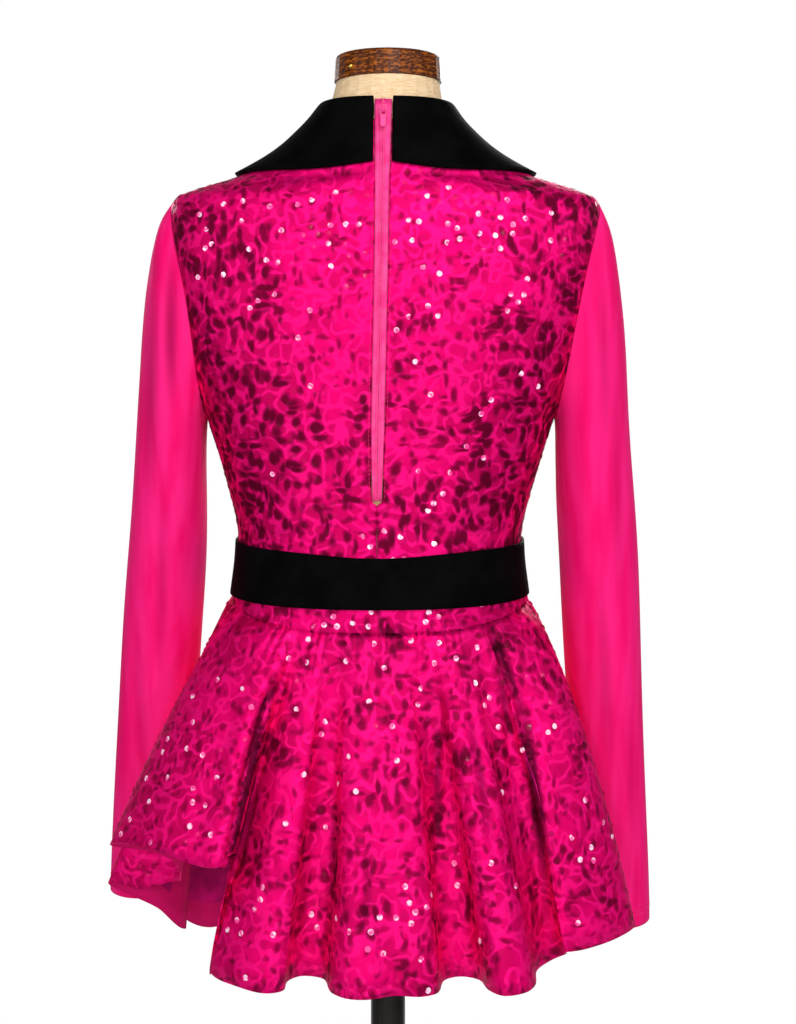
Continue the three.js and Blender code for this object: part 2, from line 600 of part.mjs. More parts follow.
// Each half rises as a stand on the neck, folds over and falls to its outer edge, which drops to a
// point beside the centre front.
function buildCollar() {
  const edgeZ = monotone(
    [0, 40, 90, 118, 152, 166, 176].map(THREE.MathUtils.degToRad),
    [COLLAR.backEdgeZ, COLLAR.sideEdgeZ, COLLAR.sideEdgeZ, 1368, COLLAR.pointZ, 1366, 1424],
  );
  const lastTurn = THREE.MathUtils.degToRad(176);
  const partingHalf = zipHalf(ZIP.topZ) + LAYER_GAP;
  const edgeLift = (turn) =>
    blend(COLLAR_LIFT.backEdge, COLLAR_LIFT.frontEdge, smooth((turn - QUARTER * 0.6) / (QUARTER * 0.6)));
  const stand = [
    { z: COLLAR.standFootZ, lift: COLLAR_LIFT.stand },
    { z: COLLAR.foldZ - 1.5, lift: COLLAR_LIFT.stand },
    { z: COLLAR.foldZ + 0.4, lift: (COLLAR_LIFT.stand + COLLAR_LIFT.fall) / 2 },
    { z: COLLAR.foldZ - 1.5, lift: COLLAR_LIFT.fall },
  ];
  const fallRows = 5;
  for (const [name, mirror] of [["collar_left", 1], ["collar_right", -1]]) {
    const profileAt = (turn) => [
      ...stand,
      ...steps(fallRows).slice(1).map((t) => ({
        z: blend(COLLAR.foldZ - 1.5, edgeZ(turn), t),
        lift: blend(COLLAR_LIFT.fall, edgeLift(turn), smooth(t)),
      })),
    ];
    const columns = steps(17).map((t) => {
      const nominal = blend(0, lastTurn, t);
      return profileAt(nominal).map(({ z, lift }) => {
        const first = turnWhere("x", centreBackX(z) - mirror * partingHalf, z, -QUARTER, QUARTER);
        const turn = mirror * blend(Math.abs(first), lastTurn, t);
        return formPoint(turn, z, lift);
      });
    });
    const ordered = mirror > 0 ? columns : [...columns].reverse();
    const grid = ordered[0].map((_, row) => ordered.map((column) => column[row]));
    add(name, wall(grid, COLLAR_CLOTH, { lift: COLLAR_CLOTH / 2 }), MATERIAL.black);
  }
}

// ---------------------------------------------------------------- belt, yoke and skirt

function buildBelt() {
  const around = turnsAround(44);
  const topLift = bodiceLift + LAYER_GAP + BELT_CLOTH;
  const bottomLift = topLift + YOKE_CLOTH + LAYER_GAP;
  const grid = [0, 0.38, 0.72, 1].map((t) =>
    around.map((turn) => {
      const x = formSurface(turn, BELT.topZ).x - centreBackX(BELT.topZ);
      const dip = Math.cos(turn) > 0 ? BELT.backDip * Math.exp(-((x / BELT.dipHalfWidth) ** 2)) : 0;
      const z = blend(BELT.topZ - dip, BELT.bottomZ, t);
      return formPoint(turn, z, blend(topLift, bottomLift, smooth(t / 0.72)));
    }),
  );
  add("belt", wall(grid, BELT_CLOTH, { closed: true }), MATERIAL.black);
}

// The seam where the skirt hangs on the yoke, lowest at the centre back.
function yokeSeamZ(turn) {
  const back = Math.max(Math.cos(turn), 0);
  return blend(YOKE.sideSeamZ, YOKE.backSeamZ, smooth(back));
}

const yokeLift = bodiceLift + LAYER_GAP + YOKE_CLOTH;

function buildYoke() {
  const around = turnsAround(44);
  const grid = [0, 0.5, 1].map((t) =>
    around.map((turn) => formPoint(turn, blend(YOKE.topZ, yokeSeamZ(turn) + SEAM_GAP, t), 0)),
  );
  add("skirt_yoke", wall(grid, YOKE_CLOTH, { closed: true, lift: yokeLift }), MATERIAL.sequin);
}

function frontFolds() {
  const { count, rowsPerWave, waveDepth, halfWidth, depth } = FRONT_WAVES;
  const total = count * rowsPerWave;
  const folds = [];
  for (let i = 1; i < total; i++) {
    const t = i / total;
    const sweep = THREE.MathUtils.degToRad(blend(FRONT_WAVES.firstSweep, FRONT_WAVES.lastSweep, t));
    const height = blend(waveDepth.side, waveDepth.front, Math.sin(Math.PI * t));
    const wave = -height * Math.cos((2 * Math.PI * i) / rowsPerWave);
    folds.push({
      turn: blend(FRONT_WAVES.firstTurn, FRONT_WAVES.lastTurn, t),
      x: FRONT_WAVES.middleX - (halfWidth + wave) * Math.sin(sweep),
      y: -(depth + wave) * Math.cos(sweep),
      z: FRONT_WAVES.hemZ,
      belly: FRONT_WAVES.belly,
    });
  }
  return folds;
}

// A smooth value through four neighbours, between the second and the third.
const through = ([a, b, c, d], t) =>
  0.5 * (2 * b + (c - a) * t + (2 * a - 5 * b + 4 * c - d) * t * t + (3 * b - a - 3 * c + d) * t ** 3);

// Smooth columns through the rows of the closed ring of folds, from one row to another.
function spread(folds, firstRow, lastRow) {
  const row = (k, name) => {
    const laps = Math.floor(k / folds.length);
    return folds[k - laps * folds.length][name] + (name === "turn" ? 360 * laps : 0);
  };
  const columns = [];
  for (let i = firstRow * COLUMNS_PER_FOLD; i <= lastRow * COLUMNS_PER_FOLD; i++) {
    const k = Math.floor(i / COLUMNS_PER_FOLD);
    const t = i / COLUMNS_PER_FOLD - k;
    const column = {};
    for (const name of ["turn", "x", "y", "z", "belly"])
      column[name] = through([k - 1, k, k + 1, k + 2].map((n) => row(n, name)), t);
    columns.push(column);
  }
  return columns;
}

function skirtColumn({ turn, x, y, z, belly }) {
  const angle = THREE.MathUtils.degToRad(turn);
  const seam = formPoint(angle, yokeSeamZ(angle) - SEAM_GAP, yokeLift);
  return steps(SKIRT_ROWS).map((step) => {
    const t = step ** SKIRT_ROW_SPREAD;
    const out = t + belly * Math.sqrt(t) * (1 - t);
    return new THREE.Vector3(blend(seam.x, x, out), blend(seam.y, y, out), blend(seam.z, z, t));
  });
}

// Draws a panel's end column back from the seam it shares with its neighbour.
function trim(column, neighbour) {
  return column.map((point, i) => {
    const inwards = neighbour[i].clone().sub(point);
    return point.clone().addScaledVector(inwards.normalize(), SEAM_GAP * 0.9);
  });
}

function buildSkirt() {
  const right = RIGHT_FOLDS.map((row) => ({ ...row, turn: row.turn + 360 })).reverse();
  const folds = [...LEFT_FOLDS, ...frontFolds(), ...right];
  const leftSeam = LEFT_FOLDS.length - 1;
  const rightSeam = folds.length - right.length;
  const panels = [
    ["skirt_back", rightSeam - folds.length, leftSeam],
    ["skirt_front", leftSeam, rightSeam],
  ];
  for (const [name, first, last] of panels) {
    const columns = spread(folds, first, last).map(skirtColumn);
    const end = columns.length - 1;
    columns[0] = trim(columns[0], columns[1]);
    columns[end] = trim(columns[end], columns[end - 1]);
    const grid = columns[0].map((_, row) => columns.map((column) => column[row]));
    add(name, wall(grid, SKIRT_CLOTH), MATERIAL.sequin);
  }
}

// ---------------------------------------------------------------- zip

// The zip lies flush in the bodice and climbs onto the collar stand at its top.
const zipLift = (z) => blend(bodiceLift - 0.3, COLLAR_LIFT.stand + COLLAR_CLOTH / 2, smooth((z - 1395) / 28));

function buildZip() {
  for (const [name, mirror] of [["zip_tape_left", 1], ["zip_tape_right", -1]]) {
    const grid = steps(ZIP.rows).map((t) => {
      const z = blend(ZIP.topZ, ZIP.bottomZ, t);
      const offsets = [SEAM_GAP / 2, ZIP.coilHalfWidth, ZIP.coilHalfWidth + 0.3, zipHalf(z)];
      const row = offsets.map((offset) => {
        const turn = turnWhere("x", centreBackX(z) - mirror * offset, z, -QUARTER, QUARTER);
        return formPoint(turn, z, zipLift(z));
      });
      return mirror > 0 ? row : row.reverse();
    });
    const coil = mirror > 0 ? [0, 1] : [2, 3];
    const raise = (row, column) => (coil.includes(column) ? ZIP.coilRaise : 0);
    add(name, wall(grid, ZIP.tape, { raise }), MATERIAL.zip);
  }
}

// The slider's own frame: its origin on the coil, -Y away from the cloth and +Z up the zip.
function sliderFrame() {
  const { z } = SLIDER;
  const back = (height) => formPoint(0, height, zipLift(height) + ZIP.coilRaise);
  const up = back(z + SLIDER.length / 2).sub(back(z - SLIDER.length / 2));
  const frame = new THREE.Group();
  frame.position.set(centreBackX(z), back(z).y - SLIDER.standOff, z);
  frame.rotation.x = -Math.atan2(up.y, up.z);
  model.add(frame);
  return frame;
}

const outline = (points) => new THREE.Shape(points.map(([x, y]) => new THREE.Vector2(x, y)));

// Turns a profile drawn as (Y, Z), extruded along its own normal, onto the X axis.
const SIDE_PROFILE = new THREE.Matrix4().makeBasis(
  new THREE.Vector3(0, 1, 0),
  new THREE.Vector3(0, 0, 1),
  new THREE.Vector3(1, 0, 0),
);

function buildSlider(frame) {
  const { length, topWidth, bottomWidth, plate } = SLIDER;
  const top = length / 2;
  const shape = outline([
    [-bottomWidth / 2, -top],
    [bottomWidth / 2, -top],
    [topWidth / 2, top * 0.3],
    [topWidth / 2, top * 0.8],
    [topWidth / 4, top],
    [0, top * 0.75],
    [-topWidth / 4, top],
    [-topWidth / 2, top * 0.8],
    [-topWidth / 2, top * 0.3],
  ]);
  const body = new THREE.ExtrudeGeometry(shape, { depth: plate, bevelEnabled: false });
  body.rotateX(QUARTER);
  body.translate(0, -SEAM_GAP, 0);

  const foot = -SEAM_GAP - plate + 0.5;
  const crest = -SEAM_GAP - plate - BAIL.height;
  const arch = outline([
    [foot, BAIL.bottomZ],
    [foot, BAIL.topZ],
    [crest + 1, BAIL.topZ],
    [crest, BAIL.topZ - 1],
    [crest, BAIL.bottomZ + 1],
    [crest + 1, BAIL.bottomZ],
  ]);
  const { wall: rim } = BAIL;
  const window = [
    [foot - 0.7, BAIL.bottomZ + rim + 0.4],
    [foot - 0.7, BAIL.topZ - rim - 0.3],
    [crest + rim, BAIL.topZ - rim - 0.3],
    [crest + rim, BAIL.bottomZ + rim + 0.4],
  ];
  arch.holes.push(new THREE.Path(window.map(([x, y]) => new THREE.Vector2(x, y))));
  const bail = new THREE.ExtrudeGeometry(arch, { depth: BAIL.width, bevelEnabled: false });
  bail.translate(0, 0, -BAIL.width / 2);
  bail.applyMatrix4(SIDE_PROFILE);
  const slider = fromManifold(toManifold(body).add(toManifold(bail)));
  add("zip_slider", slider, MATERIAL.pull, frame);
}

function buildPull(frame) {
  const { width, thickness, reach, barZ, rail, windowEnd, barHalf } = PULL;
  const half = width / 2;
  const plate = outline([
    [-half, barHalf],
    [-half, -reach + 2],
    [-half + 1.4, -reach],
    [half - 1.4, -reach],
    [half, -reach + 2],
    [half, barHalf],
  ]);
  const window = [
    [-half + rail, -barHalf],
    [half - rail, -barHalf],
    [half - rail, -windowEnd],
    [-half + rail, -windowEnd],
  ];
  plate.holes.push(new THREE.Path(window.map(([x, y]) => new THREE.Vector2(x, y))));
  const pull = new THREE.ExtrudeGeometry(plate, { depth: thickness, bevelEnabled: false });
  pull.translate(0, 0, -thickness / 2);
  pull.rotateX(QUARTER);
  const mesh = add("zip_pull", pull, MATERIAL.pull, frame);
  mesh.position.set(0, -SEAM_GAP - SLIDER.plate - PULL.barLift, barZ);
}

buildForm();
buildCap();
buildStand();
buildBodice();
buildBrief();
buildSleeves();
buildCollar();
buildBelt();
buildYoke();
buildSkirt();
buildZip();
const slider = sliderFrame();
buildSlider(slider);
buildPull(slider);

export default model;
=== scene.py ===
# %% [markdown]
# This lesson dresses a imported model: a sequinned jazz dance bodysuit on a limbless dress form.
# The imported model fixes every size, so each piece here starts from the node that it stands for.
# Lengths are in metres, +Z is up, +Y is the wearer's front and +X is the wearer's right.

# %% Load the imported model
import json
import math

import bmesh
import bpy
import numpy as np
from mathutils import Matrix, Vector, kdtree

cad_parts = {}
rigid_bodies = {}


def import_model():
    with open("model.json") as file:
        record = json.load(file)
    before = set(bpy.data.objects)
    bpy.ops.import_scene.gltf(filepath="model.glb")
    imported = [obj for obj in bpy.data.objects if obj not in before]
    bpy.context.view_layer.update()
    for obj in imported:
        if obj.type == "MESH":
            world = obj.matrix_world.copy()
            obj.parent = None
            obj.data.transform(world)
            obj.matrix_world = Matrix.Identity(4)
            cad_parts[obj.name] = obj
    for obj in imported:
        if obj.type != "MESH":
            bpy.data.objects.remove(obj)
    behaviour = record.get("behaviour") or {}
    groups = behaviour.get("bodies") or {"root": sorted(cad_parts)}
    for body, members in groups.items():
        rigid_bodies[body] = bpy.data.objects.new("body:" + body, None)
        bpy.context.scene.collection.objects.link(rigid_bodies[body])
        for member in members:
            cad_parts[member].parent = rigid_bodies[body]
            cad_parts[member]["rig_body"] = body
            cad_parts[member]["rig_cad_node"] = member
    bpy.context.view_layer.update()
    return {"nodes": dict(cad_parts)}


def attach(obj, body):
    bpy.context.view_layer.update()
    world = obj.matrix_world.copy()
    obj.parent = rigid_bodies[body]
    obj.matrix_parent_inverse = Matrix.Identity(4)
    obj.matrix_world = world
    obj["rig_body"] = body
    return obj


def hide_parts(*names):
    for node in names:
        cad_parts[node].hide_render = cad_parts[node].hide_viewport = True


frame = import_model()
nodes = frame["nodes"]
MM = 0.001

# %% [markdown]
# The object is seen from straight behind, from a little above the middle, with a level camera.
# A level camera keeps upright lines upright, so the lens is shifted down to bring in the hem.

# %% Camera
VIEW = {"x": 9 * MM, "distance": 1323 * MM, "height": 1233 * MM}
PICTURE = {"height": 1024, "horizon": 342, "metre": 1 / (0.9 * MM)}
SENSOR = 36


def build_camera():
    data = bpy.data.cameras.new("camera")
    data.sensor_fit = "VERTICAL"
    data.sensor_height = SENSOR
    data.lens = SENSOR * VIEW["distance"] * PICTURE["metre"] / PICTURE["height"]
    data.shift_y = (PICTURE["horizon"] - PICTURE["height"] / 2) / PICTURE["height"]
    camera = bpy.data.objects.new("camera", data)
    bpy.context.scene.collection.objects.link(camera)
    camera.location = (VIEW["x"], -VIEW["distance"], VIEW["height"])
    camera.rotation_euler = (math.pi / 2, 0, 0)
    bpy.context.scene.camera = camera
    return camera


camera = build_camera()
print("lens", round(camera.data.lens, 2), "shift", round(camera.data.shift_y, 3))

# %% [markdown]
# Such a garment is best lit with large soft boxes on a white sweep: a key, two low fills and one
# for the front. Small bright lamps stand all round, for the fine glints on foil, enamel and brass.
# The sweep is a round floor that ends before it would cut the picture with an edge.

# %% Studio
FLOOR = {"radius": 1.2, "thickness": 20 * MM, "sides": 128}
SOFT_BOXES = [
    {"name": "key", "at": (0.45, -1.9, 2.7), "size": 1.2, "watts": 27},
    {"name": "fill", "at": (0.3, -2.5, 0.9), "size": 1.2, "watts": 4},
    {"name": "low_fill", "at": (-1.3, -2.1, 0.7), "size": 1.0, "watts": 6},
    {"name": "front_fill", "at": (0.4, 2.4, 1.9), "size": 1.8, "watts": 45},
]
SPARKS = {
    "turns": (-60, -12, 28, 70, 160, 215), "height": 1.75, "distance": 2.3, "size": 0.12, "watts": 7,
}
AIM = Vector((0, 0, 1.15))
ROOM_LIGHT = {"sides": 0.08, "front_and_back": 0.5}


def add_lamp(row):
    data = bpy.data.lights.new(row["name"], "AREA")
    data.shape = "DISK"
    data.size = row["size"]
    data.energy = row["watts"]
    lamp = bpy.data.objects.new(row["name"], data)
    bpy.context.scene.collection.objects.link(lamp)
    lamp.location = row["at"]
    lamp.rotation_euler = (AIM - lamp.location).to_track_quat("-Z", "Y").to_euler()


def build_world():
    world = bpy.data.worlds.new("studio")
    bpy.context.scene.world = world
    world.use_nodes = True
    tree = world.node_tree
    seen = tree.nodes["Background"]
    seen.inputs["Color"].default_value = (1, 1, 1, 1)
    room = tree.nodes.new("ShaderNodeBackground")
    room.inputs["Color"].default_value = (1, 0.985, 0.97, 1)
    split = tree.nodes.new("ShaderNodeSeparateXYZ")
    tree.links.new(tree.nodes.new("ShaderNodeTexCoord").outputs["Generated"], split.inputs[0])
    square = tree.nodes.new("ShaderNodeMath")
    square.operation = "MULTIPLY"
    tree.links.new(split.outputs["Y"], square.inputs[0])
    tree.links.new(split.outputs["Y"], square.inputs[1])
    strength = tree.nodes.new("ShaderNodeMapRange")
    strength.inputs["To Min"].default_value = ROOM_LIGHT["sides"]
    strength.inputs["To Max"].default_value = ROOM_LIGHT["front_and_back"]
    tree.links.new(square.outputs[0], strength.inputs["Value"])
    tree.links.new(strength.outputs[0], room.inputs["Strength"])
    path = tree.nodes.new("ShaderNodeLightPath")
    mix = tree.nodes.new("ShaderNodeMixShader")
    tree.links.new(path.outputs["Is Camera Ray"], mix.inputs["Fac"])
    tree.links.new(room.outputs[0], mix.inputs[1])
    tree.links.new(seen.outputs[0], mix.inputs[2])
    tree.links.new(mix.outputs[0], tree.nodes["World Output"].inputs["Surface"])


def spark_rows():
    """Small lamps all round, turned from the back of the object."""
    rows = []
    for turn in SPARKS["turns"]:
        angle = math.radians(turn)
        x, y = SPARKS["distance"] * math.sin(angle), -SPARKS["distance"] * math.cos(angle)
        rows.append({"name": f"spark_{turn}", "at": (x, y, SPARKS["height"]), **SPARKS})
    return rows


def build_floor():
    bpy.ops.mesh.primitive_cylinder_add(
        vertices=FLOOR["sides"], radius=FLOOR["radius"], depth=FLOOR["thickness"],
        location=(0, 0, -FLOOR["thickness"] / 2),
    )
    floor = bpy.context.object
    floor.name = "floor"
    bpy.ops.object.transform_apply(location=True)
    material = bpy.data.materials.new("pale_floor")
    material.use_nodes = True
    shader = material.node_tree.nodes["Principled BSDF"]
    shader.inputs["Base Color"].default_value = (0.85, 0.85, 0.84, 1)
    shader.inputs["Roughness"].default_value = 0.7
    floor.data.materials.append(material)


build_floor()
lamps = SOFT_BOXES + spark_rows()
for row in lamps:
    add_lamp(row)
build_world()
bpy.context.scene.view_settings.view_transform = "Standard"
print("lamps", len(lamps))


# %% [markdown]
# Every finish below is built from nodes. This helper adds a node, sets its options and fills its
# inputs, so that each material reads as a short recipe from the coordinates to the shader.

# %% Node helper
def put(tree, kind, inputs=None, **options):
    made = tree.nodes.new("ShaderNode" + kind)
    for name, value in options.items():
        setattr(made, name, value)
    for name, value in (inputs or {}).items():
        if isinstance(value, bpy.types.NodeSocket):
            tree.links.new(value, made.inputs[name])
        else:
            made.inputs[name].default_value = value
    return made


def colour(red, green, blue):
    """A colour given as on a screen, 0 to 255, as the linear colour that nodes use."""
    shares = [c / 255 for c in (red, green, blue)]
    return tuple(((c + 0.055) / 1.055) ** 2.4 if c > 10 / 255 else c / 12.92 for c in shares) + (1,)


def new_finish(name, **sockets):
    material = bpy.data.materials.new(name)
    material.use_nodes = True
    shader = material.node_tree.nodes["Principled BSDF"]
    for socket, value in sockets.items():
        shader.inputs[socket.replace("_", " ")].default_value = value
    return material, material.node_tree, shader


def place(tree):
    return put(tree, "TexCoord").outputs["Object"]


def math_node(tree, operation, first, second=0.5):
    return put(tree, "Math", {0: first, 1: second}, operation=operation).outputs[0]


def ramp(tree, value, low, high, start=0.0, end=1.0):
    inputs = {"Value": value, "From Min": low, "From Max": high, "To Min": start, "To Max": end}
    return put(tree, "MapRange", inputs, interpolation_type="SMOOTHSTEP").outputs[0]


def noise(tree, vector, scale, detail=1.0, distortion=0.0, output="Fac"):
    inputs = {"Vector": vector, "Scale": scale, "Detail": detail, "Distortion": distortion}
    return put(tree, "TexNoise", inputs).outputs[output]


def mix_colour(tree, amount, first, second):
    made = put(tree, "Mix", {0: amount, 6: first, 7: second}, data_type="RGBA")
    return made.outputs[2]


def add_bump(tree, shader, height, strength, distance):
    bump = put(tree, "Bump", {"Height": height, "Strength": strength, "Distance": distance})
    tree.links.new(bump.outputs[0], shader.inputs["Normal"])


def near_zero(tree, value, width):
    """Nought on the line where a noise crosses its middle, one away from it."""
    away = math_node(tree, "ABSOLUTE", math_node(tree, "SUBTRACT", value, 0.5))
    return ramp(tree, away, width * 0.4, width)


# %% [markdown]
# The main cloth is a hot-pink stretch foil. Its surface is a lacy bright net round soft dark ovals
# and short worms. Ovals are the middles of round Voronoi cells and worms those of long cells,
# upright in some places and lying in others, all bent by a noise. A second value, the openness,
# says how wide the bright net is. It changes at random in patches, and it also carries painted
# light and shade: the net is widest, so the cloth lighter, high on the bodice and on the outer
# flute, and narrower, so the cloth darker, towards the sides and the waist. All read Object
# coordinates, because a pattern in space needs no seams between the panels. A third value, stored
# at the cloth's corners, is painted shade that darkens its deep folds.

# %% Sequin foil cloth
# Where the net is narrow, the ovals turn deep and the plain field rose. This is partly random and partly
# painted shade, through the openness.
FOIL = {
    "pink": colour(236, 0, 112),
    "rose": colour(208, 0, 94),
    "light": colour(252, 12, 128),
    "dark": colour(160, 0, 68),
    "deep": colour(106, 0, 42),
    # fold is painted shade: the colour that the deepest folds are darkened to.
    "fold": colour(30, 0, 12),
}
FOIL_SCALE = {"bend": 46, "ovals": 86, "worms": 84, "glow": 95, "places": 21, "patches": 34}
FOIL_BEND = 0.013
STRETCH = {"ovals": (1.1, 1.0, 0.85), "upright": (1.5, 1.3, 0.55), "lying": (0.6, 0.9, 1.5)}
LYING_FROM = (0.46, 0.54)
NET_EDGE = (0.1, 0.42)
GLOW_WIDTH = 0.12
# How far the painted fold shade darkens the foil and the mesh at most.
PAINTED_SHADE_MOST = {"foil": 0.85, "mesh": 0.7}
FOIL_SHINE = {"Metallic": 0.6, "Roughness": 0.56, "Specular_IOR_Level": 0.08}
# The openness is partly random and partly painted light and shade. Its painted shading darkens the sides
# and the low bodice and lightens the top of the bodice, and its flute part lightens the outer flute at the
# wearer's left.
OPENNESS_AND_PAINTED_LIGHT = {
    "least": -0.13, "most": 0.03, "middle": 0.04, "side": 0.15, "waist_low": 0.99, "waist_high": 1.06,
    "painted_shading": 0.29, "low": 1.12, "high": 1.33, "at_low": 0.6, "at_high": -0.5, "flute": 0.2,
    "flute_inner": -0.12, "flute_outer": -0.165, "closed_below": 0.2, "open_above": 0.62,
}


def dark_cells(tree, vector, scale, stretch):
    """The distance from a cell's middle, small inside an oval and large between the ovals."""
    turned = put(tree, "Mapping", {"Vector": vector, "Scale": stretch}).outputs[0]
    return put(tree, "TexVoronoi", {"Vector": turned, "Scale": scale}).outputs["Distance"]


def openness_with_painted_light(tree, at):
    """One where the net is widest, nought where it is narrowest. Besides random patches it carries painted
    light and shade: lower towards the sides and low on the bodice, higher high on the bodice and on the
    outer flute.
    """
    split = put(tree, "SeparateXYZ", {0: at}).outputs
    # Painted shade towards the sides and low on the bodice, painted light high on it and on the outer
    # flute.
    aside = ramp(tree, math_node(tree, "ABSOLUTE", split["X"]), OPENNESS_AND_PAINTED_LIGHT["middle"], OPENNESS_AND_PAINTED_LIGHT["side"])
    bodice = ramp(tree, split["Z"], OPENNESS_AND_PAINTED_LIGHT["waist_low"], OPENNESS_AND_PAINTED_LIGHT["waist_high"])
    painted_shade_by_height = ramp(tree, split["Z"], *[OPENNESS_AND_PAINTED_LIGHT[k] for k in ("low", "high", "at_low", "at_high")])
    painted_shading = math_node(tree, "MULTIPLY", math_node(tree, "ADD", aside, painted_shade_by_height), bodice)
    painted_shading = math_node(tree, "MULTIPLY", painted_shading, OPENNESS_AND_PAINTED_LIGHT["painted_shading"])
    patches = noise(tree, at, FOIL_SCALE["patches"], detail=1)
    flute = ramp(tree, split["X"], OPENNESS_AND_PAINTED_LIGHT["flute_inner"], OPENNESS_AND_PAINTED_LIGHT["flute_outer"])
    flute = math_node(tree, "MAXIMUM", math_node(tree, "SUBTRACT", flute, bodice), 0)
    painted_flute_light = math_node(tree, "MULTIPLY", flute, OPENNESS_AND_PAINTED_LIGHT["flute"])
    seen = math_node(tree, "ADD", math_node(tree, "SUBTRACT", patches, painted_shading), painted_flute_light)
    return ramp(tree, seen, OPENNESS_AND_PAINTED_LIGHT["closed_below"], OPENNESS_AND_PAINTED_LIGHT["open_above"])


def foil_pattern(tree):
    at = place(tree)
    turn = noise(tree, at, FOIL_SCALE["bend"], output="Color")
    push = put(tree, "VectorMath", {0: turn, 1: (0.5, 0.5, 0.5)}, operation="SUBTRACT").outputs[0]
    push = put(tree, "VectorMath", {0: push, "Scale": FOIL_BEND}, operation="SCALE").outputs[0]
    bent = put(tree, "VectorMath", {0: at, 1: push}, operation="ADD").outputs[0]
    ovals = dark_cells(tree, bent, FOIL_SCALE["ovals"], STRETCH["ovals"])
    upright = dark_cells(tree, bent, FOIL_SCALE["worms"], STRETCH["upright"])
    lying = dark_cells(tree, bent, FOIL_SCALE["worms"], STRETCH["lying"])
    places = ramp(tree, noise(tree, at, FOIL_SCALE["places"], detail=1), *LYING_FROM)
    worms = put(tree, "Mix", {0: places, 2: upright, 3: lying}).outputs[0]
    openness_and_painted_light = openness_with_painted_light(tree, at)
    wider = ramp(tree, openness_and_painted_light, 0, 1, OPENNESS_AND_PAINTED_LIGHT["least"], OPENNESS_AND_PAINTED_LIGHT["most"])
    net = [ramp(tree, math_node(tree, "ADD", cells, wider), *NET_EDGE) for cells in (ovals, worms)]
    glow = near_zero(tree, noise(tree, bent, FOIL_SCALE["glow"], detail=0), GLOW_WIDTH)
    return at, math_node(tree, "MULTIPLY", *net), glow, openness_and_painted_light


def painted_fold_shade(tree, most):
    """How far a place lies inside a fold, as far as the most, read from the cloth's own corners; it is
    painted shade that the finish darkens with.
    """
    shade = put(tree, "Attribute", attribute_name="painted_fold_shade").outputs["Fac"]
    return math_node(tree, "MULTIPLY", shade, most)


def foil_colour(tree):
    at, net, glow, openness_and_painted_light = foil_pattern(tree)
    patches = ramp(tree, noise(tree, at, FOIL_SCALE["patches"], detail=2), 0.38, 0.62)
    dark = mix_colour(tree, openness_and_painted_light, FOIL["deep"], FOIL["dark"])
    plain = mix_colour(tree, math_node(tree, "MULTIPLY", patches, openness_and_painted_light), FOIL["rose"], FOIL["pink"])
    bright = mix_colour(tree, glow, FOIL["light"], plain)
    flat = mix_colour(tree, net, dark, bright)
    # Deep folds are darkened with painted shade.
    return mix_colour(tree, painted_fold_shade(tree, PAINTED_SHADE_MOST["foil"]), flat, FOIL["fold"]), net


def foil_finish():
    material, tree, shader = new_finish("sequin_foil_cloth", **FOIL_SHINE)
    base, net = foil_colour(tree)
    tree.links.new(base, shader.inputs["Base Color"])
    add_bump(tree, shader, net, 0.6, 0.8 * MM)
    return material


foil = foil_finish()
print("made", foil.name)

# %% [markdown]
# Sequins are thin, nearly flat discs of the same foil, so most can hardly be told from the cloth.
# A few get a pale finish instead, a painted glint. It is part of their finish, so they read as
# sparks from every side and under any lamp.
# The cloth's wrong side is a plain, darker magenta knit with a paler band where the hem is turned.

# %% Sequins and the cloth's wrong side
BAND_EDGE = (0.45, 0.55)


def sequin_finish():
    material, tree, shader = new_finish(
        "sequin_film", **FOIL_SHINE, Coat_Weight=0.04, Coat_Roughness=0.12, Coat_IOR=1.5,
    )
    base, _ = foil_colour(tree)
    tree.links.new(base, shader.inputs["Base Color"])
    return material


def spark_finish():
    material, tree, shader = new_finish(
        "sequin_painted_glint", Roughness=0.35, Specular_IOR_Level=0.5, Coat_Weight=0.5, Coat_Roughness=0.15,
    )
    # The pale pinks are painted glints, some brighter and some dimmer, by a noise.
    tone = ramp(tree, noise(tree, place(tree), 260, detail=0), 0.38, 0.62)
    base = mix_colour(tree, tone, colour(255, 60, 156), colour(255, 214, 240))
    tree.links.new(base, shader.inputs["Base Color"])
    return material


def knit_height(tree, at, size):
    """Ribs of a knit as a height from nought to one. A rib is about a third of the size."""
    inputs = {"Vector": at, "Scale": 1 / size, "Distortion": 0.6}
    ribs = [put(tree, "TexWave", inputs, bands_direction=way).outputs["Fac"] for way in ("DIAGONAL", "Z")]
    return math_node(tree, "MULTIPLY", *ribs)


def wrong_side_finish():
    material, tree, shader = new_finish("foil_wrong_side", Roughness=0.7, Specular_IOR_Level=0.1)
    at = place(tree)
    band = put(tree, "Attribute", attribute_name="hem_band").outputs["Fac"]
    cloudy = ramp(tree, noise(tree, at, 60, detail=2), 0.35, 0.65)
    plain = mix_colour(tree, cloudy, colour(172, 0, 96), colour(206, 2, 112))
    base = mix_colour(tree, ramp(tree, band, *BAND_EDGE), plain, colour(214, 8, 100))
    tree.links.new(base, shader.inputs["Base Color"])
    add_bump(tree, shader, knit_height(tree, at, 9 * MM), 0.4, 0.3 * MM)
    return material


sequin_film = sequin_finish()
painted_glint_film = spark_finish()
wrong_side = wrong_side_finish()
print("made", sequin_film.name, wrong_side.name)

# %% [markdown]
# The sleeves are a plain fine mesh: matt, a little fuzzy at grazing angles, with soft upright
# streaks and painted shade in its folds. The collar and belt are a matt black stretch knit.

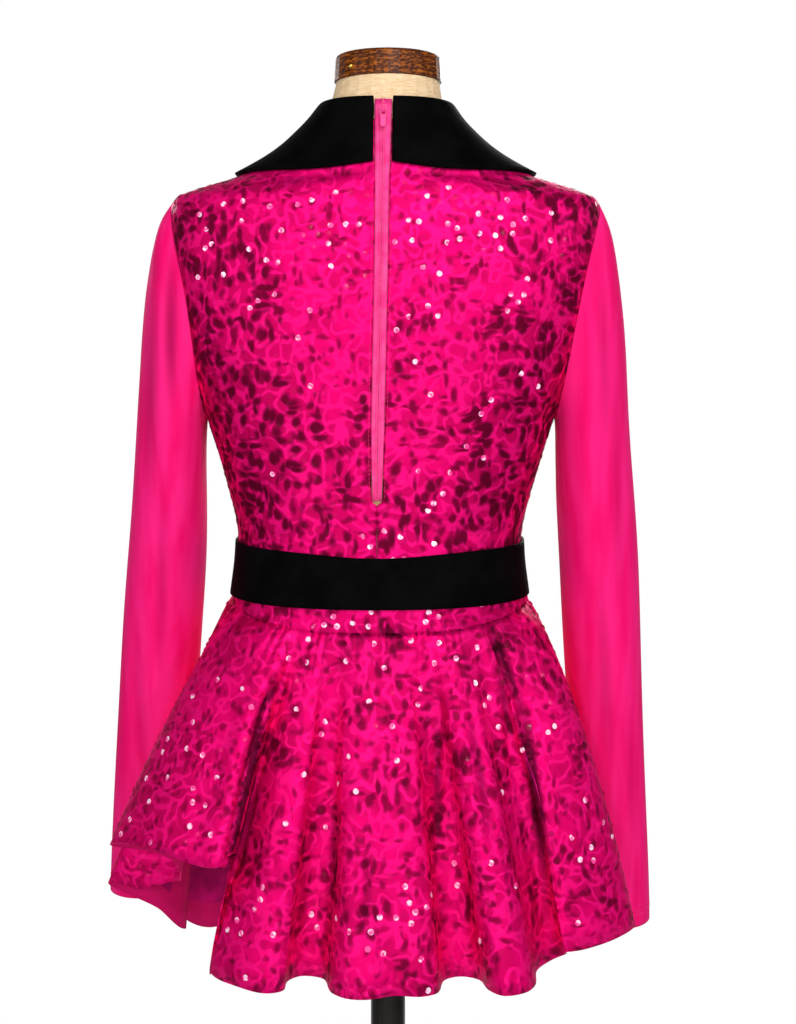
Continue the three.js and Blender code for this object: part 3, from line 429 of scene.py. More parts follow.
# %% Sleeve mesh and black stretch
def mesh_finish():
    material, tree, shader = new_finish(
        "sheer_pink_mesh", Roughness=0.65, Specular_IOR_Level=0.06, Sheen_Weight=0.15, Sheen_Roughness=0.4,
        Sheen_Tint=colour(255, 120, 190),
    )
    at = place(tree)
    stretched = put(tree, "Mapping", {"Vector": at, "Scale": (1, 1, 0.12)}).outputs[0]
    # Lighter and darker upright streaks, from a noise stretched along Z.
    upright_streaks = ramp(tree, noise(tree, stretched, 60, detail=2), 0.3, 0.7)
    base = mix_colour(tree, upright_streaks, colour(244, 8, 108), colour(255, 34, 132))
    # The sleeve's folds are darkened with painted shade.
    base = mix_colour(tree, painted_fold_shade(tree, PAINTED_SHADE_MOST["mesh"]), base, colour(150, 0, 62))
    tree.links.new(base, shader.inputs["Base Color"])
    add_bump(tree, shader, knit_height(tree, at, 7 * MM), 0.35, 0.2 * MM)
    return material


def black_finish():
    material, tree, shader = new_finish(
        "black_stretch", Roughness=0.7, Specular_IOR_Level=0.03,
    )
    at = place(tree)
    tone = ramp(tree, noise(tree, at, 40, detail=3), 0.3, 0.7)
    base = mix_colour(tree, tone, colour(2, 2, 3), colour(7, 7, 8))
    tree.links.new(base, shader.inputs["Base Color"])
    add_bump(tree, shader, knit_height(tree, at, 6 * MM), 0.5, 0.2 * MM)
    return material


sleeve_mesh = mesh_finish()
black_stretch = black_finish()
print("made", sleeve_mesh.name, black_stretch.name)

# %% [markdown]
# The zip is a woven tape with a nylon coil and an enamelled slider. The form is covered with
# cream linen, closed by a varnished wooden cap with a brass pin, and stands on enamelled steel.

# %% Zip, linen, wood, brass and enamel
def zip_finish():
    material, tree, shader = new_finish("zip_tape", Roughness=0.6, Specular_IOR_Level=0.15)
    at = place(tree)
    tone = ramp(tree, noise(tree, at, 90, detail=2), 0.3, 0.7)
    base = mix_colour(tree, tone, colour(250, 50, 138), colour(255, 80, 156))
    tree.links.new(base, shader.inputs["Base Color"])
    add_bump(tree, shader, knit_height(tree, at, 5 * MM), 0.4, 0.15 * MM)
    return material


def enamel_finish(name, first, second, roughness, metallic=0.0):
    material, tree, shader = new_finish(name, Roughness=roughness, Metallic=metallic, Coat_Weight=0.3)
    tone = ramp(tree, noise(tree, place(tree), 120, detail=3), 0.35, 0.65)
    tree.links.new(mix_colour(tree, tone, first, second), shader.inputs["Base Color"])
    return material


def linen_finish():
    material, tree, shader = new_finish("cream_linen", Roughness=0.85, Specular_IOR_Level=0.15)
    at = place(tree)
    slub = put(tree, "Mapping", {"Vector": at, "Scale": (1, 1, 6)}).outputs[0]
    tone = ramp(tree, noise(tree, slub, 140, detail=3), 0.3, 0.7)
    base = mix_colour(tree, tone, colour(230, 194, 148), colour(246, 218, 178))
    tree.links.new(base, shader.inputs["Base Color"])
    add_bump(tree, shader, knit_height(tree, at, 10 * MM), 0.6, 0.3 * MM)
    return material


def wood_finish():
    material, tree, shader = new_finish(
        "varnished_wood", Roughness=0.4, Specular_IOR_Level=0.15, Coat_Weight=0.05, Coat_Roughness=0.2,
    )
    at = place(tree)
    sawn = put(tree, "Mapping", {"Vector": at, "Scale": (1, 0.35, 2.2)}).outputs[0]
    inputs = {"Vector": sawn, "Scale": 26, "Distortion": 5, "Detail": 3, "Detail Scale": 2}
    grain = put(tree, "TexWave", inputs, wave_type="BANDS", bands_direction="Z").outputs["Fac"]
    pores = ramp(tree, noise(tree, sawn, 260, detail=2), 0.42, 0.6)
    base = mix_colour(tree, grain, colour(104, 46, 6), colour(166, 88, 22))
    base = mix_colour(tree, pores, colour(70, 30, 8), base)
    tree.links.new(base, shader.inputs["Base Color"])
    add_bump(tree, shader, grain, 0.15, 0.2 * MM)
    return material


zip_tape = zip_finish()
zip_enamel = enamel_finish("pink_enamel", colour(238, 34, 130), colour(248, 70, 156), 0.25)
linen = linen_finish()
wood = wood_finish()
brass = enamel_finish("brass", colour(196, 152, 66), colour(216, 176, 88), 0.3, metallic=1.0)
dark_enamel = enamel_finish("dark_enamel", colour(24, 20, 19), colour(34, 29, 27), 0.22, metallic=0.5)
for name, finish in [
    ("form_torso", linen), ("form_cap", wood), ("cap_pin", brass), ("stand_pole", dark_enamel),
    ("stand_base", dark_enamel), ("zip_slider", zip_enamel), ("zip_pull", zip_enamel),
]:
    nodes[name].data.materials.clear()
    nodes[name].data.materials.append(finish)
print("finished the form, the stand and the slider")


# %% [markdown]
# The solids are coarse on purpose. Each cloth piece is a copy of its solid, its doubles merged and
# its triangles paired into quads, so that a Subdivision Surface can round it into soft cloth.
# Subdividing pulls a surface inside its corners, so the corners are first moved out until the
# smooth cloth passes through the places where they stood, and the outline keeps its size.

# %% From a solid to smooth cloth
RIM_ANGLE = math.radians(65)
PAIR_ANGLES = {"face_threshold": math.radians(50), "shape_threshold": math.radians(70)}
SAME_PLACE = 0.01 * MM
FITTING_ROUNDS = 4


def select_only(piece):
    bpy.ops.object.select_all(action="DESELECT")
    piece.select_set(True)
    bpy.context.view_layer.objects.active = piece


def copy_node(node, name):
    select_only(nodes[node])
    bpy.ops.object.duplicate()
    piece = bpy.context.object
    piece.name = piece.data.name = name
    piece.parent = None
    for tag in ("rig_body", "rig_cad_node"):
        del piece[tag]
    bpy.ops.object.mode_set(mode="EDIT")
    bpy.ops.mesh.select_all(action="SELECT")
    bpy.ops.mesh.customdata_custom_splitnormals_clear()
    bpy.ops.mesh.remove_doubles(threshold=SAME_PLACE)
    bpy.ops.mesh.tris_convert_to_quads(**PAIR_ANGLES)
    bpy.ops.object.mode_set(mode="OBJECT")
    return piece


def corners(mesh):
    flat = np.empty(len(mesh.vertices) * 3)
    mesh.vertices.foreach_get("co", flat)
    return flat.reshape(-1, 3)


def set_corners(mesh, points):
    mesh.vertices.foreach_set("co", points.ravel())
    mesh.update()


def flood_layers(mesh):
    """The faces in groups that no rim edge crosses, the largest first."""
    layers = []
    left = set(mesh.faces)
    while left:
        queue = [left.pop()]
        layer = []
        while queue:
            face = queue.pop()
            layer.append(face)
            for edge in face.edges:
                if not edge.tag:
                    near = [f for f in edge.link_faces if f in left]
                    left.difference_update(near)
                    queue.extend(near)
        layers.append(layer)
    return sorted(layers, key=lambda layer: -layer_area(layer))


def layer_area(layer):
    return sum(face.calc_area() for face in layer)


def outward_area(layer, middle):
    """How much of a layer looks away from the upright line through the middle."""
    level = Vector((1, 1, 0))
    return sum(f.calc_area() * f.normal.dot((f.calc_center_median() - middle) * level) for f in layer)


def mark_layers(piece):
    """Gives the wall's rim a crease, and the faces of its wrong side the second material."""
    mesh = bmesh.new()
    mesh.from_mesh(piece.data)
    crease = mesh.edges.layers.float.new("crease_edge")
    for edge in mesh.edges:
        edge.tag = edge.calc_face_angle(0) > RIM_ANGLE
        edge[crease] = 1.0 if edge.tag else 0.0
    first, second = flood_layers(mesh)[:2]
    # A sleeve is a tube about its own middle; every other cloth goes about the form's axis.
    middle = sum((v.co for v in mesh.verts), Vector()) / len(mesh.verts)
    if not piece.name.startswith("sleeve"):
        middle = Vector((0, 0, middle.z))
    wrong = second if outward_area(first, middle) > outward_area(second, middle) else first
    for face in wrong:
        face.material_index = 1
    areas = [layer_area(layer) for layer in (first, second)]
    mesh.to_mesh(piece.data)
    mesh.free()
    return areas


def smooth_cloth(piece, levels):
    target = corners(piece.data)
    modifier = piece.modifiers.new("smooth", "SUBSURF")
    modifier.levels = modifier.render_levels = levels
    control = target.copy()
    for _ in range(FITTING_ROUNDS):
        set_corners(piece.data, control)
        seen = piece.evaluated_get(bpy.context.evaluated_depsgraph_get())
        control += target - corners(seen.data)[: len(target)]
    set_corners(piece.data, control)
    select_only(piece)
    bpy.ops.object.modifier_apply(modifier="smooth")
    bpy.ops.object.shade_smooth()


CLOTH = [
    {"node": "bodice_back_left", "finish": foil, "slot": "sequin", "levels": 3},
    {"node": "bodice_back_right", "finish": foil, "slot": "sequin", "levels": 3},
    {"node": "bodice_front", "finish": foil, "slot": "sequin", "levels": 2},
    {"node": "brief_back", "finish": foil, "slot": "sequin", "levels": 1},
    {"node": "brief_front", "finish": foil, "slot": "sequin", "levels": 1},
    {"node": "sleeve_left", "finish": sleeve_mesh, "slot": "mesh", "levels": 3},
    {"node": "sleeve_right", "finish": sleeve_mesh, "slot": "mesh", "levels": 3},
    {"node": "collar_left", "finish": black_stretch, "slot": "black", "levels": 2},
    {"node": "collar_right", "finish": black_stretch, "slot": "black", "levels": 2},
    {"node": "belt", "finish": black_stretch, "slot": "black", "levels": 2},
    {"node": "skirt_yoke", "finish": foil, "slot": "sequin", "levels": 3},
    {"node": "skirt_back", "finish": foil, "slot": "sequin", "levels": 2},
    {"node": "skirt_front", "finish": foil, "slot": "sequin", "levels": 2},
    {"node": "zip_tape_left", "finish": zip_tape, "slot": "zip", "levels": 1},
    {"node": "zip_tape_right", "finish": zip_tape, "slot": "zip", "levels": 1},
]


def build_cloth(row):
    piece = copy_node(row["node"], row["node"] + "_cloth")
    piece.data.materials.clear()
    piece.data.materials.append(row["finish"])
    piece.data.materials.append(wrong_side if row["finish"] is foil else row["finish"])
    layers = mark_layers(piece)
    smooth_cloth(piece, row["levels"])
    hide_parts(row["node"])
    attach(piece, "root")
    print(piece.name, "faces", len(piece.data.polygons), "layers m2", [round(a, 4) for a in layers])
    return piece


cloth = {row["node"]: build_cloth(row) for row in CLOTH}

# %% [markdown]
# Where the skirt is set on its yoke, the stretch cloth draws up into small uneven gathers, and the
# rest of the cloth has a few soft lines. Both are pressed into the finished meshes by troughs,
# moving the right and the wrong side together, so that the wall keeps its thickness. Each corner
# keeps how deep in a fold it lies, and the finish darkens with that as painted shade; a few shallow
# lines, under the collar and under the arms, are there mostly for that painted shade. Before this,
# the second flute at the wearer's left is narrowed, the cloth beyond it hangs lower, and the heads
# of the sleeves are drawn onto the bodice, so that the armhole shows as a fine seam.

# %% Gathers and soft lines
YOKE_SEAM = {"side": 1005 * MM, "back": 989 * MM}
GATHERS = {
    "depth": 2.4 * MM, "fade_down": 30 * MM, "fade_up": 9 * MM, "count": 58, "drift": 3.1, "second": 23,
    "painted_shade_below": 0.55, "level": 0.35, "sharpness": 0.7,
}
UNEVEN = {"mean": 0.6, "swing": 0.4, "count": 11, "drift": 2, "second": 5}
LINE_ENDS = 0.08
FACING = {"press": 2.5, "shade": 10}
# A pressed line's painted shade is full at this depth in millimetres, less the value below.
PAINTED_SHADE_DEPTH = 4
PAINTED_SHADE_FROM = 0.1
EVERYWHERE = 2
ARMHOLE = {"low": 1100 * MM, "pull": 1.1 * MM, "fade": 14 * MM}

# Two moves of the skirt at the wearer's left, along X or Z. Each is strongest at one X and fades
# over a width, and grows from nought to full between two Ys and two Zs, all in millimetres.
FLUTE_MOVES = [
    {"axis": 0, "by": -18, "x": -160, "width": 36, "y": (-25, -8), "z": (850, 790)},
    {"axis": 2, "by": -34, "x": -148, "width": 42, "y": (30, 58), "z": (810, 725)},
]

# A row for each line: its piece, where it starts and ends in X and Z, how deep and how wide it is,
# all in millimetres, and whether it lies on the back or on the front.
LINE_COLUMNS = ("node", "start", "end", "depth", "width", "side")
BACK, FRONT = -1, 1
LINE_ROWS = [
    ("bodice_back_left", (-150, 1075), (-95, 1100), 1.1, 7, BACK),
    ("bodice_back_left", (-140, 1120), (-60, 1085), 0.9, 9, BACK),
    ("bodice_back_left", (-128, 1066), (-40, 1074), 1.2, 6, BACK),
    ("bodice_back_right", (135, 1105), (60, 1080), 1.1, 8, BACK),
    ("bodice_back_right", (122, 1068), (30, 1076), 1.2, 6, BACK),
    ("bodice_back_right", (22, 1362), (56, 1379), 1.0, 5, BACK),
    # These four troughs along the collar's lower edge are there mostly for the painted shadow of the
    # collar that their fold shade brings.
    ("bodice_back_left", (-4, 1378), (-66, 1375), 2.2, 5, BACK),
    ("bodice_back_left", (-48, 1376), (-118, 1366), 2.2, 5, BACK),
    ("bodice_back_right", (12, 1378), (78, 1375), 2.2, 5, BACK),
    ("bodice_back_right", (60, 1376), (132, 1365), 2.2, 5, BACK),
    ("skirt_back", (-90, 952), (-107, 922), 7.0, 4.5, BACK),
    ("skirt_back", (-102, 936), (-128, 796), 12.0, 5, BACK),
    ("skirt_back", (-110, 948), (-143, 812), -4.0, 9, BACK),
    ("skirt_back", (86, 1000), (117, 915), 6.0, 4.5, BACK),
    ("skirt_back", (112, 945), (134, 770), 6.5, 7, BACK),
    ("skirt_back", (90, 985), (105, 890), 3.5, 5, BACK),
    ("skirt_back", (92, 950), (97, 850), -2.5, 5, BACK),
    ("skirt_back", (42, 935), (41, 800), 3.5, 5, BACK),
    ("skirt_back", (66, 945), (88, 815), 3.2, 5, BACK),
    ("skirt_back", (-42, 880), (-44, 745), 3.2, 6, BACK),
    ("skirt_back", (-14, 840), (-16, 740), 2.4, 5, BACK),
    # These two wide troughs are there mostly for painted shade under the arms.
    ("bodice_back_left", (-150, 1215), (-150, 1110), 2.2, 12, BACK),
    ("bodice_back_right", (146, 1215), (146, 1110), 2.2, 12, BACK),
    ("bodice_front", (-120, 1075), (-30, 1090), 1.1, 8, FRONT),
    ("bodice_front", (115, 1080), (35, 1068), 1.0, 7, FRONT),
    ("bodice_front", (140, 1200), (90, 1235), 1.1, 9, FRONT),
    ("bodice_front", (-150, 1195), (-95, 1228), 1.1, 9, FRONT),
    ("sleeve_left", (-190, 1325), (-189, 1160), 4.5, 8, BACK),
    ("sleeve_left", (-206, 1300), (-214, 1080), 3.0, 9, BACK),
    ("sleeve_left", (-197, 1130), (-206, 900), 2.2, 9, BACK),
    ("sleeve_left", (-228, 1010), (-222, 800), 1.8, 10, BACK),
    ("sleeve_left", (-200, 1290), (-212, 950), 2.2, 10, FRONT),
    ("sleeve_left", (-222, 1050), (-236, 790), 1.9, 9, FRONT),
    ("sleeve_right", (186, 1318), (192, 1120), 2.0, 9, BACK),
    ("sleeve_right", (199, 1240), (207, 960), 1.8, 9, BACK),
    ("sleeve_right", (187, 1060), (198, 820), 2.2, 10, BACK),
    ("sleeve_right", (216, 930), (222, 750), 1.6, 9, BACK),
    ("sleeve_right", (190, 1280), (205, 930), 2.2, 10, FRONT),
    ("sleeve_right", (210, 1010), (216, 770), 1.8, 9, FRONT),
]
LINES = [dict(zip(LINE_COLUMNS, row)) for row in LINE_ROWS]


def outward_normals(piece):
    """Each corner's normal, turned round on the wrong side so that both sides move alike."""
    mesh = piece.data
    normals = np.empty(len(mesh.vertices) * 3)
    mesh.vertices.foreach_get("normal", normals)
    normals = normals.reshape(-1, 3)
    side = np.ones(len(mesh.vertices))
    for face in mesh.polygons:
        if face.material_index == 1:
            side[list(face.vertices)] = -1
    return normals * side[:, None]


def soft_line(points, start, end, width):
    """One along a line in X and Z, fading over its width and towards its ends."""
    start, end = np.array(start) * MM, np.array(end) * MM
    along = end - start
    flat = points[:, [0, 2]]
    t = np.clip((flat - start) @ along / (along @ along), 0, 1)
    away = np.linalg.norm(flat - start - t[:, None] * along, axis=1)
    return np.exp(-((away / (width * MM)) ** 2)) * np.sin(np.pi * (LINE_ENDS + (1 - 2 * LINE_ENDS) * t))


def add_shade(piece, amount):
    """Adds to the shade that each corner keeps, from nought outside a fold to one deep inside it."""
    mesh = piece.data
    layer = mesh.attributes.get("painted_fold_shade") or mesh.attributes.new("painted_fold_shade", "FLOAT", "POINT")
    kept = np.zeros(len(mesh.vertices))
    layer.data.foreach_get("value", kept)
    layer.data.foreach_set("value", np.clip(kept + amount, 0, 1))


def press_lines(rows):
    for name, piece in cloth.items():
        here = [row for row in rows if row["node"] == name]
        if not here:
            continue
        points, normals = corners(piece.data), outward_normals(piece)
        for row in here:
            facing = np.clip(normals[:, 1] * row["side"] * FACING["press"], 0, 1)
            strength = soft_line(points, row["start"], row["end"], row["width"]) * facing
            points = points - normals * (strength * row["depth"] * MM)[:, None]
            # The corners in a pressed line keep painted shade, the more the deeper the line.
            turned = np.clip(normals[:, 1] * row["side"] * FACING["shade"], 0, 1)
            line = soft_line(points, row["start"], row["end"], row["width"]) * turned
            dark = line ** 2 * max(row["depth"], 0) / PAINTED_SHADE_DEPTH - PAINTED_SHADE_FROM
            add_shade(piece, np.clip(dark, 0, 1))
        set_corners(piece.data, points)


def press_gathers(piece, reach):
    points, normals = corners(piece.data), outward_normals(piece)
    turn = np.arctan2(-points[:, 0], -points[:, 1])
    back = np.clip(np.cos(turn), 0, 1)
    seam = YOKE_SEAM["side"] + (YOKE_SEAM["back"] - YOKE_SEAM["side"]) * back * back * (3 - 2 * back)
    fade = np.exp(-(((points[:, 2] - seam) / reach) ** 2))
    phase = GATHERS["count"] * turn + GATHERS["drift"] * np.sin(GATHERS["second"] * turn)
    change = UNEVEN["count"] * turn + UNEVEN["drift"] * np.sin(UNEVEN["second"] * turn)
    uneven = UNEVEN["mean"] + UNEVEN["swing"] * np.sin(change)
    wave = np.abs(np.sin(phase / 2)) ** GATHERS["sharpness"] * uneven
    push = (wave - GATHERS["level"]) * fade * GATHERS["depth"]
    set_corners(piece.data, points + normals * push[:, None])
    # The hollows of the gathers keep painted shade.
    add_shade(piece, np.clip(GATHERS["painted_shade_below"] - wave, 0, 1) * fade)


def rim_tree(piece, low, high):
    """The piece's cut edges between two heights, as points that can be searched for the nearest."""
    mesh = piece.data
    crease = mesh.attributes["crease_edge"].data
    cut = [edge for edge in mesh.edges if crease[edge.index].value > 0.5]
    ends = [[mesh.vertices[v].co for v in edge.vertices] for edge in cut]
    points = [a.lerp(b, t) for a, b in ends for t in (0, 0.5) if low < a.z < high]
    tree = kdtree.KDTree(len(points))
    for i, point in enumerate(points):
        tree.insert(point, i)
    tree.balance()
    return tree


def close_armhole(piece, inwards):
    """Draws the sleeve's head onto the bodice, so that the seam shows as a fine line."""
    mesh = piece.data
    tree = rim_tree(piece, ARMHOLE["low"], EVERYWHERE)
    for v in mesh.vertices:
        away = tree.find(v.co)[2]
        v.co.x += inwards * ARMHOLE["pull"] * math.exp(-((away / ARMHOLE["fade"]) ** 2))


def soft_step(values, start, end):
    t = np.clip((values - start * MM) / ((end - start) * MM), 0, 1)
    return t * t * (3 - 2 * t)


def settle_side_flute(piece):
    """Narrows the second flute at the wearer's left, and lets the cloth beyond it hang lower."""
    points = corners(piece.data)
    x, y, z = points.T
    shares = [
        np.exp(-(((x - row["x"] * MM) / (row["width"] * MM)) ** 2))
        * soft_step(y, *row["y"]) * soft_step(z, *row["z"])
        for row in FLUTE_MOVES
    ]
    for row, share in zip(FLUTE_MOVES, shares):
        points[:, row["axis"]] += row["by"] * MM * share
    set_corners(piece.data, points)


for name in ("skirt_back", "skirt_front"):
    settle_side_flute(cloth[name])
close_armhole(cloth["sleeve_left"], 1)
close_armhole(cloth["sleeve_right"], -1)
press_lines(LINES)

# Every sequinned cloth carries the shade, also where no line is pressed into it.
for name in ("bodice_front", "brief_back", "brief_front", "skirt_front"):
    add_shade(cloth[name], 0)
press_gathers(cloth["skirt_yoke"], GATHERS["fade_up"])
for name in ("skirt_back", "skirt_front"):
    press_gathers(cloth[name], GATHERS["fade_down"])
print("pressed", len(LINES), "lines")

# %% [markdown]
# On the wrong side a turned hem shows as a paler band. Each corner of the skirt stores whether it
# lies near the hem, and the finish reads that as an attribute.

# %% Hem bands
HEM_BAND = 19 * MM
HEM_TOP = 840 * MM


def mark_hem(piece):
    mesh = piece.data
    tree = rim_tree(piece, 0, HEM_TOP)
    near = [1.0 if tree.find(v.co)[2] < HEM_BAND else 0.0 for v in mesh.vertices]
    mesh.attributes.new("hem_band", "FLOAT", "POINT").data.foreach_set("value", near)


for name in ("skirt_back", "skirt_front"):
    mark_hem(cloth[name])
print("marked the hem")

# %% [markdown]
# A sequin is a small dished disc. One is modelled, and copies are scattered over the right side of
# the foil cloth, no two middles nearer than one and a half discs' width, each tipped a little its
# own way. The few that face one of some listed directions get a pale finish, a painted glint, more
# of them in some patches than in others and none deep inside a fold. The rest are laid flatter.

# %% Sequins
SEQUIN = {
    "radius": 2.5 * MM, "sides": 8, "dish": 0.03 * MM, "lift": 0.35 * MM, "tip": 0.13, "flat": 0.3,
    "spacing": 7.5 * MM,
}
SEQUIN_MARGIN = 4 * MM
SEED = 11

# The directions that a spark may face, as turns from straight behind and rises above level, in
# degrees. They are listed, and aren't those of the lamps. A disc gets the pale finish of a painted
# glint when its own normal points within the reach, also in degrees, of one of these.
SPARK_WAYS = [
    (-38, 14), (-24, 6), (-20, 20), (-6, 12), (3, 22), (8, 2), (14, 14), (26, 7), (34, 20),
    (-12, -8), (20, -7), (-48, 24), (52, 14), (-66, 6), (72, 8), (90, 16), (-90, 14), (112, 8),
    (-118, 12), (136, 18), (-146, 10), (160, 8), (-168, 16), (178, 4),
]
SPARK_REACH = 2.3
SPARK_SHADE = 0.25
TRIES_A_PLACE = 4

# In some patches more discs get the painted glint. A row gives a patch's middle in X and Z and its
# radius in millimetres, and how many degrees it adds to the reach.
SPARK_PATCHES = [
    (-172, 890, 50, 3.6), (-154, 1312, 30, 3.0), (-64, 1340, 40, 2.8), (40, 1328, 42, 3.0),
    (102, 1328, 26, 2.6), (148, 1312, 22, 2.4), (0, 1000, 60, 2.8), (-96, 772, 24, 2.0),
    (-23, 772, 22, 2.2), (0, 756, 20, 1.8), (27, 784, 22, 2.0), (98, 905, 24, 2.2), (170, 822, 24, 2.0),
    (-60, 990, 30, 1.4), (30, 1150, 24, 1.0),
]


def model_sequin():
    bpy.ops.object.select_all(action="DESELECT")
    bpy.ops.mesh.primitive_cone_add(
        vertices=SEQUIN["sides"], radius1=SEQUIN["radius"], radius2=0, depth=SEQUIN["dish"],
        end_fill_type="TRIFAN",
    )
    disc = bpy.context.object
    points = corners(disc.data)
    faces = [tuple(face.vertices) for face in disc.data.polygons]
    bpy.data.objects.remove(disc)
    return points, faces


def right_side_triangles(piece):
    mesh = piece.data
    mesh.calc_loop_triangles()
    points = corners(mesh)
    rows = [t.vertices[:] for t in mesh.loop_triangles if t.material_index == 0]
    triangles = points[np.array(rows)]
    cross = np.cross(triangles[:, 1] - triangles[:, 0], triangles[:, 2] - triangles[:, 0])
    area = np.linalg.norm(cross, axis=1) / 2
    keep = area > 0
    return triangles[keep], cross[keep] / (2 * area[keep])[:, None], area[keep]


def scatter(piece, draw):
    """Places on the piece's right side, no two nearer than the spacing, with their normals."""
    triangles, normals, area = right_side_triangles(piece)
    rims = rim_tree(piece, 0, EVERYWHERE)
    tries = int(area.sum() / SEQUIN["spacing"] ** 2 * TRIES_A_PLACE)
    picks = draw.choice(len(area), size=tries, p=area / area.sum())
    a, b = np.sqrt(draw.random(tries)), draw.random(tries)
    weights = np.stack([1 - a, a * (1 - b), a * b], axis=1)
    places = (triangles[picks] * weights[:, :, None]).sum(axis=1)
    taken = {}
    kept = []
    for i, place_now in enumerate(places):
        cell = tuple((place_now // SEQUIN["spacing"]).astype(int))
        near = [
            j for dx in (-1, 0, 1) for dy in (-1, 0, 1) for dz in (-1, 0, 1)
            for j in taken.get((cell[0] + dx, cell[1] + dy, cell[2] + dz), ())
        ]
        if any(np.sum((places[j] - place_now) ** 2) < SEQUIN["spacing"] ** 2 for j in near):
            continue
        if rims.find(place_now)[2] > SEQUIN_MARGIN:
            taken.setdefault(cell, []).append(i)
            kept.append(i)
    return places[kept], normals[picks[kept]]


def joined_copies(name, shape, centres, frames, finish):
    """One mesh of many copies of a small shape, each turned by its own frame."""
    points, faces = shape
    count = len(points)
    placed = (points @ frames + centres[:, None, :]).reshape(-1, 3)
    rows = [tuple(v + k * count for v in face) for k in range(len(centres)) for face in faces]
    mesh = bpy.data.meshes.new(name)
    mesh.from_pydata(placed.tolist(), [], rows)
    mesh.materials.append(finish)
    joined = bpy.data.objects.new(name, mesh)
    bpy.context.scene.collection.objects.link(joined)
    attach(joined, "root")
    print(name, "copies", len(centres))
    return joined


def frames_along(axes, normals):
    """Frames whose third axis is the given one and whose second lies near the normal."""
    axes = axes / np.linalg.norm(axes, axis=1)[:, None]
    side = np.cross(normals, axes)
    side /= np.linalg.norm(side, axis=1)[:, None]
    return np.stack([side, np.cross(axes, side), axes], axis=1)


def shade_at(piece, places):
    """The fold shade of the piece's nearest corner to each place."""
    kept = np.zeros(len(piece.data.vertices))
    piece.data.attributes["painted_fold_shade"].data.foreach_get("value", kept)
    tree = kdtree.KDTree(len(kept))
    for i, point in enumerate(corners(piece.data)):
        tree.insert(point, i)
    tree.balance()
    return np.array([kept[tree.find(place)[1]] for place in places])


def sew_sequins(name, piece, draw):
    places, normals = scatter(piece, draw)
    shade = shade_at(piece, places)
    tipped = normals + SEQUIN["tip"] * draw.normal(size=normals.shape)
    frames = frames_along(tipped, draw.normal(size=normals.shape))
    centres = places + normals * SEQUIN["lift"]
    turns, rises = np.radians(np.array(SPARK_WAYS)).T
    ways = np.stack([np.sin(turns) * np.cos(rises), -np.cos(turns) * np.cos(rises), np.sin(rises)])
    away = [np.hypot(centres[:, 0] / MM - x, centres[:, 2] / MM - z) for x, z, _, _ in SPARK_PATCHES]
    more = [row[3] * np.exp(-((far / row[2]) ** 2)) for far, row in zip(away, SPARK_PATCHES)]
    reach = np.radians(SPARK_REACH + sum(more))
    lit = ((frames[:, 2] @ ways).max(axis=1) > np.cos(reach)) & (shade < SPARK_SHADE)
    flatter = normals + SEQUIN["flat"] * (tipped - normals)
    dull_frames = frames_along(flatter, draw.normal(size=normals.shape))
    shape = model_sequin()
    dull = joined_copies("sequins_" + name, shape, centres[~lit], dull_frames[~lit], sequin_film)
    # The dull discs keep the painted fold shade of the cloth beneath them.
    add_shade(dull, np.repeat(shade[~lit], len(shape[0])))
    return [dull, joined_copies("sparks_" + name, shape, centres[lit], frames[lit], painted_glint_film)]


draw = np.random.default_rng(SEED)
SEQUINNED = [
    "bodice_back_left", "bodice_back_right", "bodice_front", "skirt_yoke", "skirt_back", "skirt_front",
]
sewn_on = {name: sew_sequins(name, cloth[name], draw) for name in SEQUINNED}

# %% [markdown]
# The zip's coil is a row of small bars on each tape, and it meets at the middle. A row of stitches
# holds each tape to the bodice, and two rows hold each sleeve's turned cuff.

# %% Zip coil and stitches
COIL = {
    "pitch": 1.7 * MM, "aside": 0.9 * MM, "length": 1.5 * MM, "radius": 0.5 * MM, "top": 1438 * MM,
    "bottom": 1101 * MM,
}
COIL_AXIS = (1, 0, 0.12)
STITCH = {"length": 2.4 * MM, "pitch": 3.6 * MM, "radius": 0.3 * MM}
ZIP_SEWING = {"aside": 2.4 * MM, "top": 1392 * MM, "bottom": 1104 * MM}
CUFF_ROWS = (11.5 * MM, 14.5 * MM)
CUFF_STEPS = 160
CUFF_BELOW = 1
BAR_SIDES = 6

# How far away the rays start that find a place on the cloth.
FAR = {"behind": 0.4, "round_a_cuff": 0.12}


def model_bar(length, radius):
    bpy.ops.object.select_all(action="DESELECT")
    bpy.ops.mesh.primitive_cylinder_add(vertices=BAR_SIDES, radius=radius, depth=length)
    bar = bpy.context.object
    shape = corners(bar.data), [tuple(face.vertices) for face in bar.data.polygons]
    bpy.data.objects.remove(bar)
    return shape


def edge_line(piece, pick):
    """The tape's edge as heights and the X of the edge there, pick being min or max."""
    rows = {}
    for x, _, z in corners(piece.data):
        rows.setdefault(round(z, 4), []).append(x)
    heights = sorted(rows)
    return heights, [pick(rows[z]) for z in heights]


def on_surface(piece, starts, directions):
    found = [piece.ray_cast(Vector(a), Vector(b)) for a, b in zip(starts, directions)]
    hits = [(hit[1], hit[2]) for hit in found if hit[0]]
    return np.array([h[0] for h in hits]), np.array([h[1] for h in hits])


def lay_bars(name, piece, xs, heights, shape, axis, finish):
    starts = [(x, -FAR["behind"], z) for x, z in zip(xs, heights)]
    places, normals = on_surface(piece, starts, [(0, 1, 0)] * len(starts))
    axes = np.tile(np.array(axis, float), (len(places), 1))
    return joined_copies(name, shape, places, frames_along(axes, normals), finish)


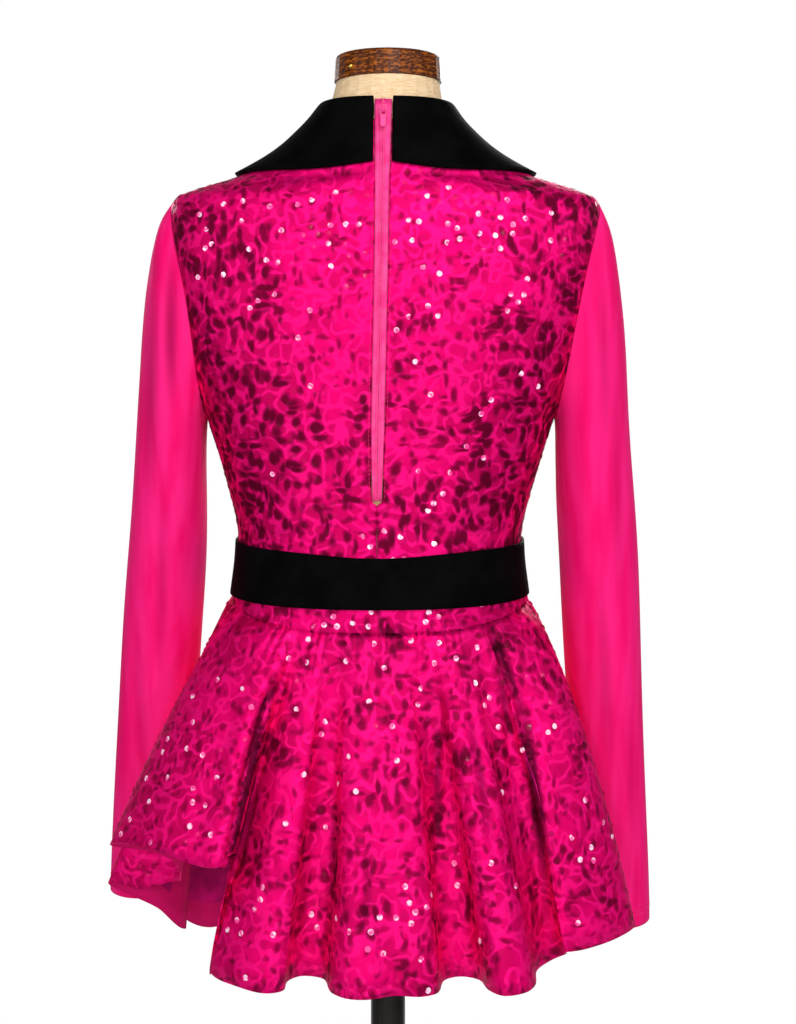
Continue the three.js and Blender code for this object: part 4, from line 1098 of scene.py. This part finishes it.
def evenly(points, normals, pitch):
    """Places a pitch apart along a closed path, with the path's direction and normal there."""
    steps = np.linalg.norm(np.roll(points, -1, axis=0) - points, axis=1)
    reach = np.concatenate([[0], np.cumsum(steps)])
    at = np.arange(int(reach[-1] / pitch)) * reach[-1] / int(reach[-1] / pitch)
    sets = (points, normals, np.roll(points, -1, axis=0) - points)
    closed = [np.vstack([values, values[:1]]) for values in sets]
    return [np.stack([np.interp(at, reach, c[:, k]) for k in range(3)], axis=1) for c in closed]


def sew_cuff(node, rises):
    piece = cloth[node]
    mesh = piece.data
    crease = mesh.attributes["crease_edge"].data
    rim = {v for edge in mesh.edges if crease[edge.index].value > 0.5 for v in edge.vertices}
    points = corners(mesh)[list(rim)]
    points = points[points[:, 2] < CUFF_BELOW]
    middle = points.mean(axis=0)
    turn = np.arctan2(points[:, 1] - middle[1], points[:, 0] - middle[0])
    order = np.argsort(turn)
    for row, rise in enumerate(rises):
        angles = np.linspace(-math.pi, math.pi, CUFF_STEPS, endpoint=False)
        away = np.stack([np.cos(angles), np.sin(angles), 0 * angles], axis=1)
        heights = np.interp(angles, turn[order], points[order, 2], period=2 * math.pi) + rise
        starts = away * FAR["round_a_cuff"] + middle
        starts[:, 2] = heights
        places, axes = on_surface(piece, starts, -away)
        places, normals, along = evenly(places, axes, STITCH["pitch"])
        frames = frames_along(along, normals)
        shape = model_bar(STITCH["length"], STITCH["radius"])
        sewn_on.setdefault(node, []).append(
            joined_copies(f"cuff_stitches_{node}_{row + 1}", shape, places, frames, thread)
        )


thread = enamel_finish("pink_thread", colour(214, 0, 92), colour(236, 12, 112), 0.6)
inner = [edge_line(cloth["zip_tape_left"], max), edge_line(cloth["zip_tape_right"], min)]
for side, node, (heights, xs) in [(-1, "left", inner[0]), (1, "right", inner[1])]:
    tape, bodice = cloth["zip_tape_" + node], cloth["bodice_back_" + node]
    up = np.arange(COIL["bottom"], COIL["top"], COIL["pitch"]) + (side > 0) * COIL["pitch"] / 2
    shape = model_bar(COIL["length"], COIL["radius"])
    across = np.interp(up, heights, xs) + side * COIL["aside"]
    coil = lay_bars("coil_" + node, tape, across, up, shape, COIL_AXIS, zip_tape)
    sewn_on["zip_tape_" + node] = [coil]
    heights, xs = edge_line(tape, min if side < 0 else max)
    up = np.arange(ZIP_SEWING["bottom"], ZIP_SEWING["top"], STITCH["pitch"])
    across = np.interp(up, heights, xs) + side * ZIP_SEWING["aside"]
    shape = model_bar(STITCH["length"], STITCH["radius"])
    sewn_on["bodice_back_" + node].append(
        lay_bars("zip_stitches_" + node, bodice, across, up, shape, (0, 0, 1), thread)
    )
for node in ("sleeve_left", "sleeve_right"):
    sew_cuff(node, CUFF_ROWS)
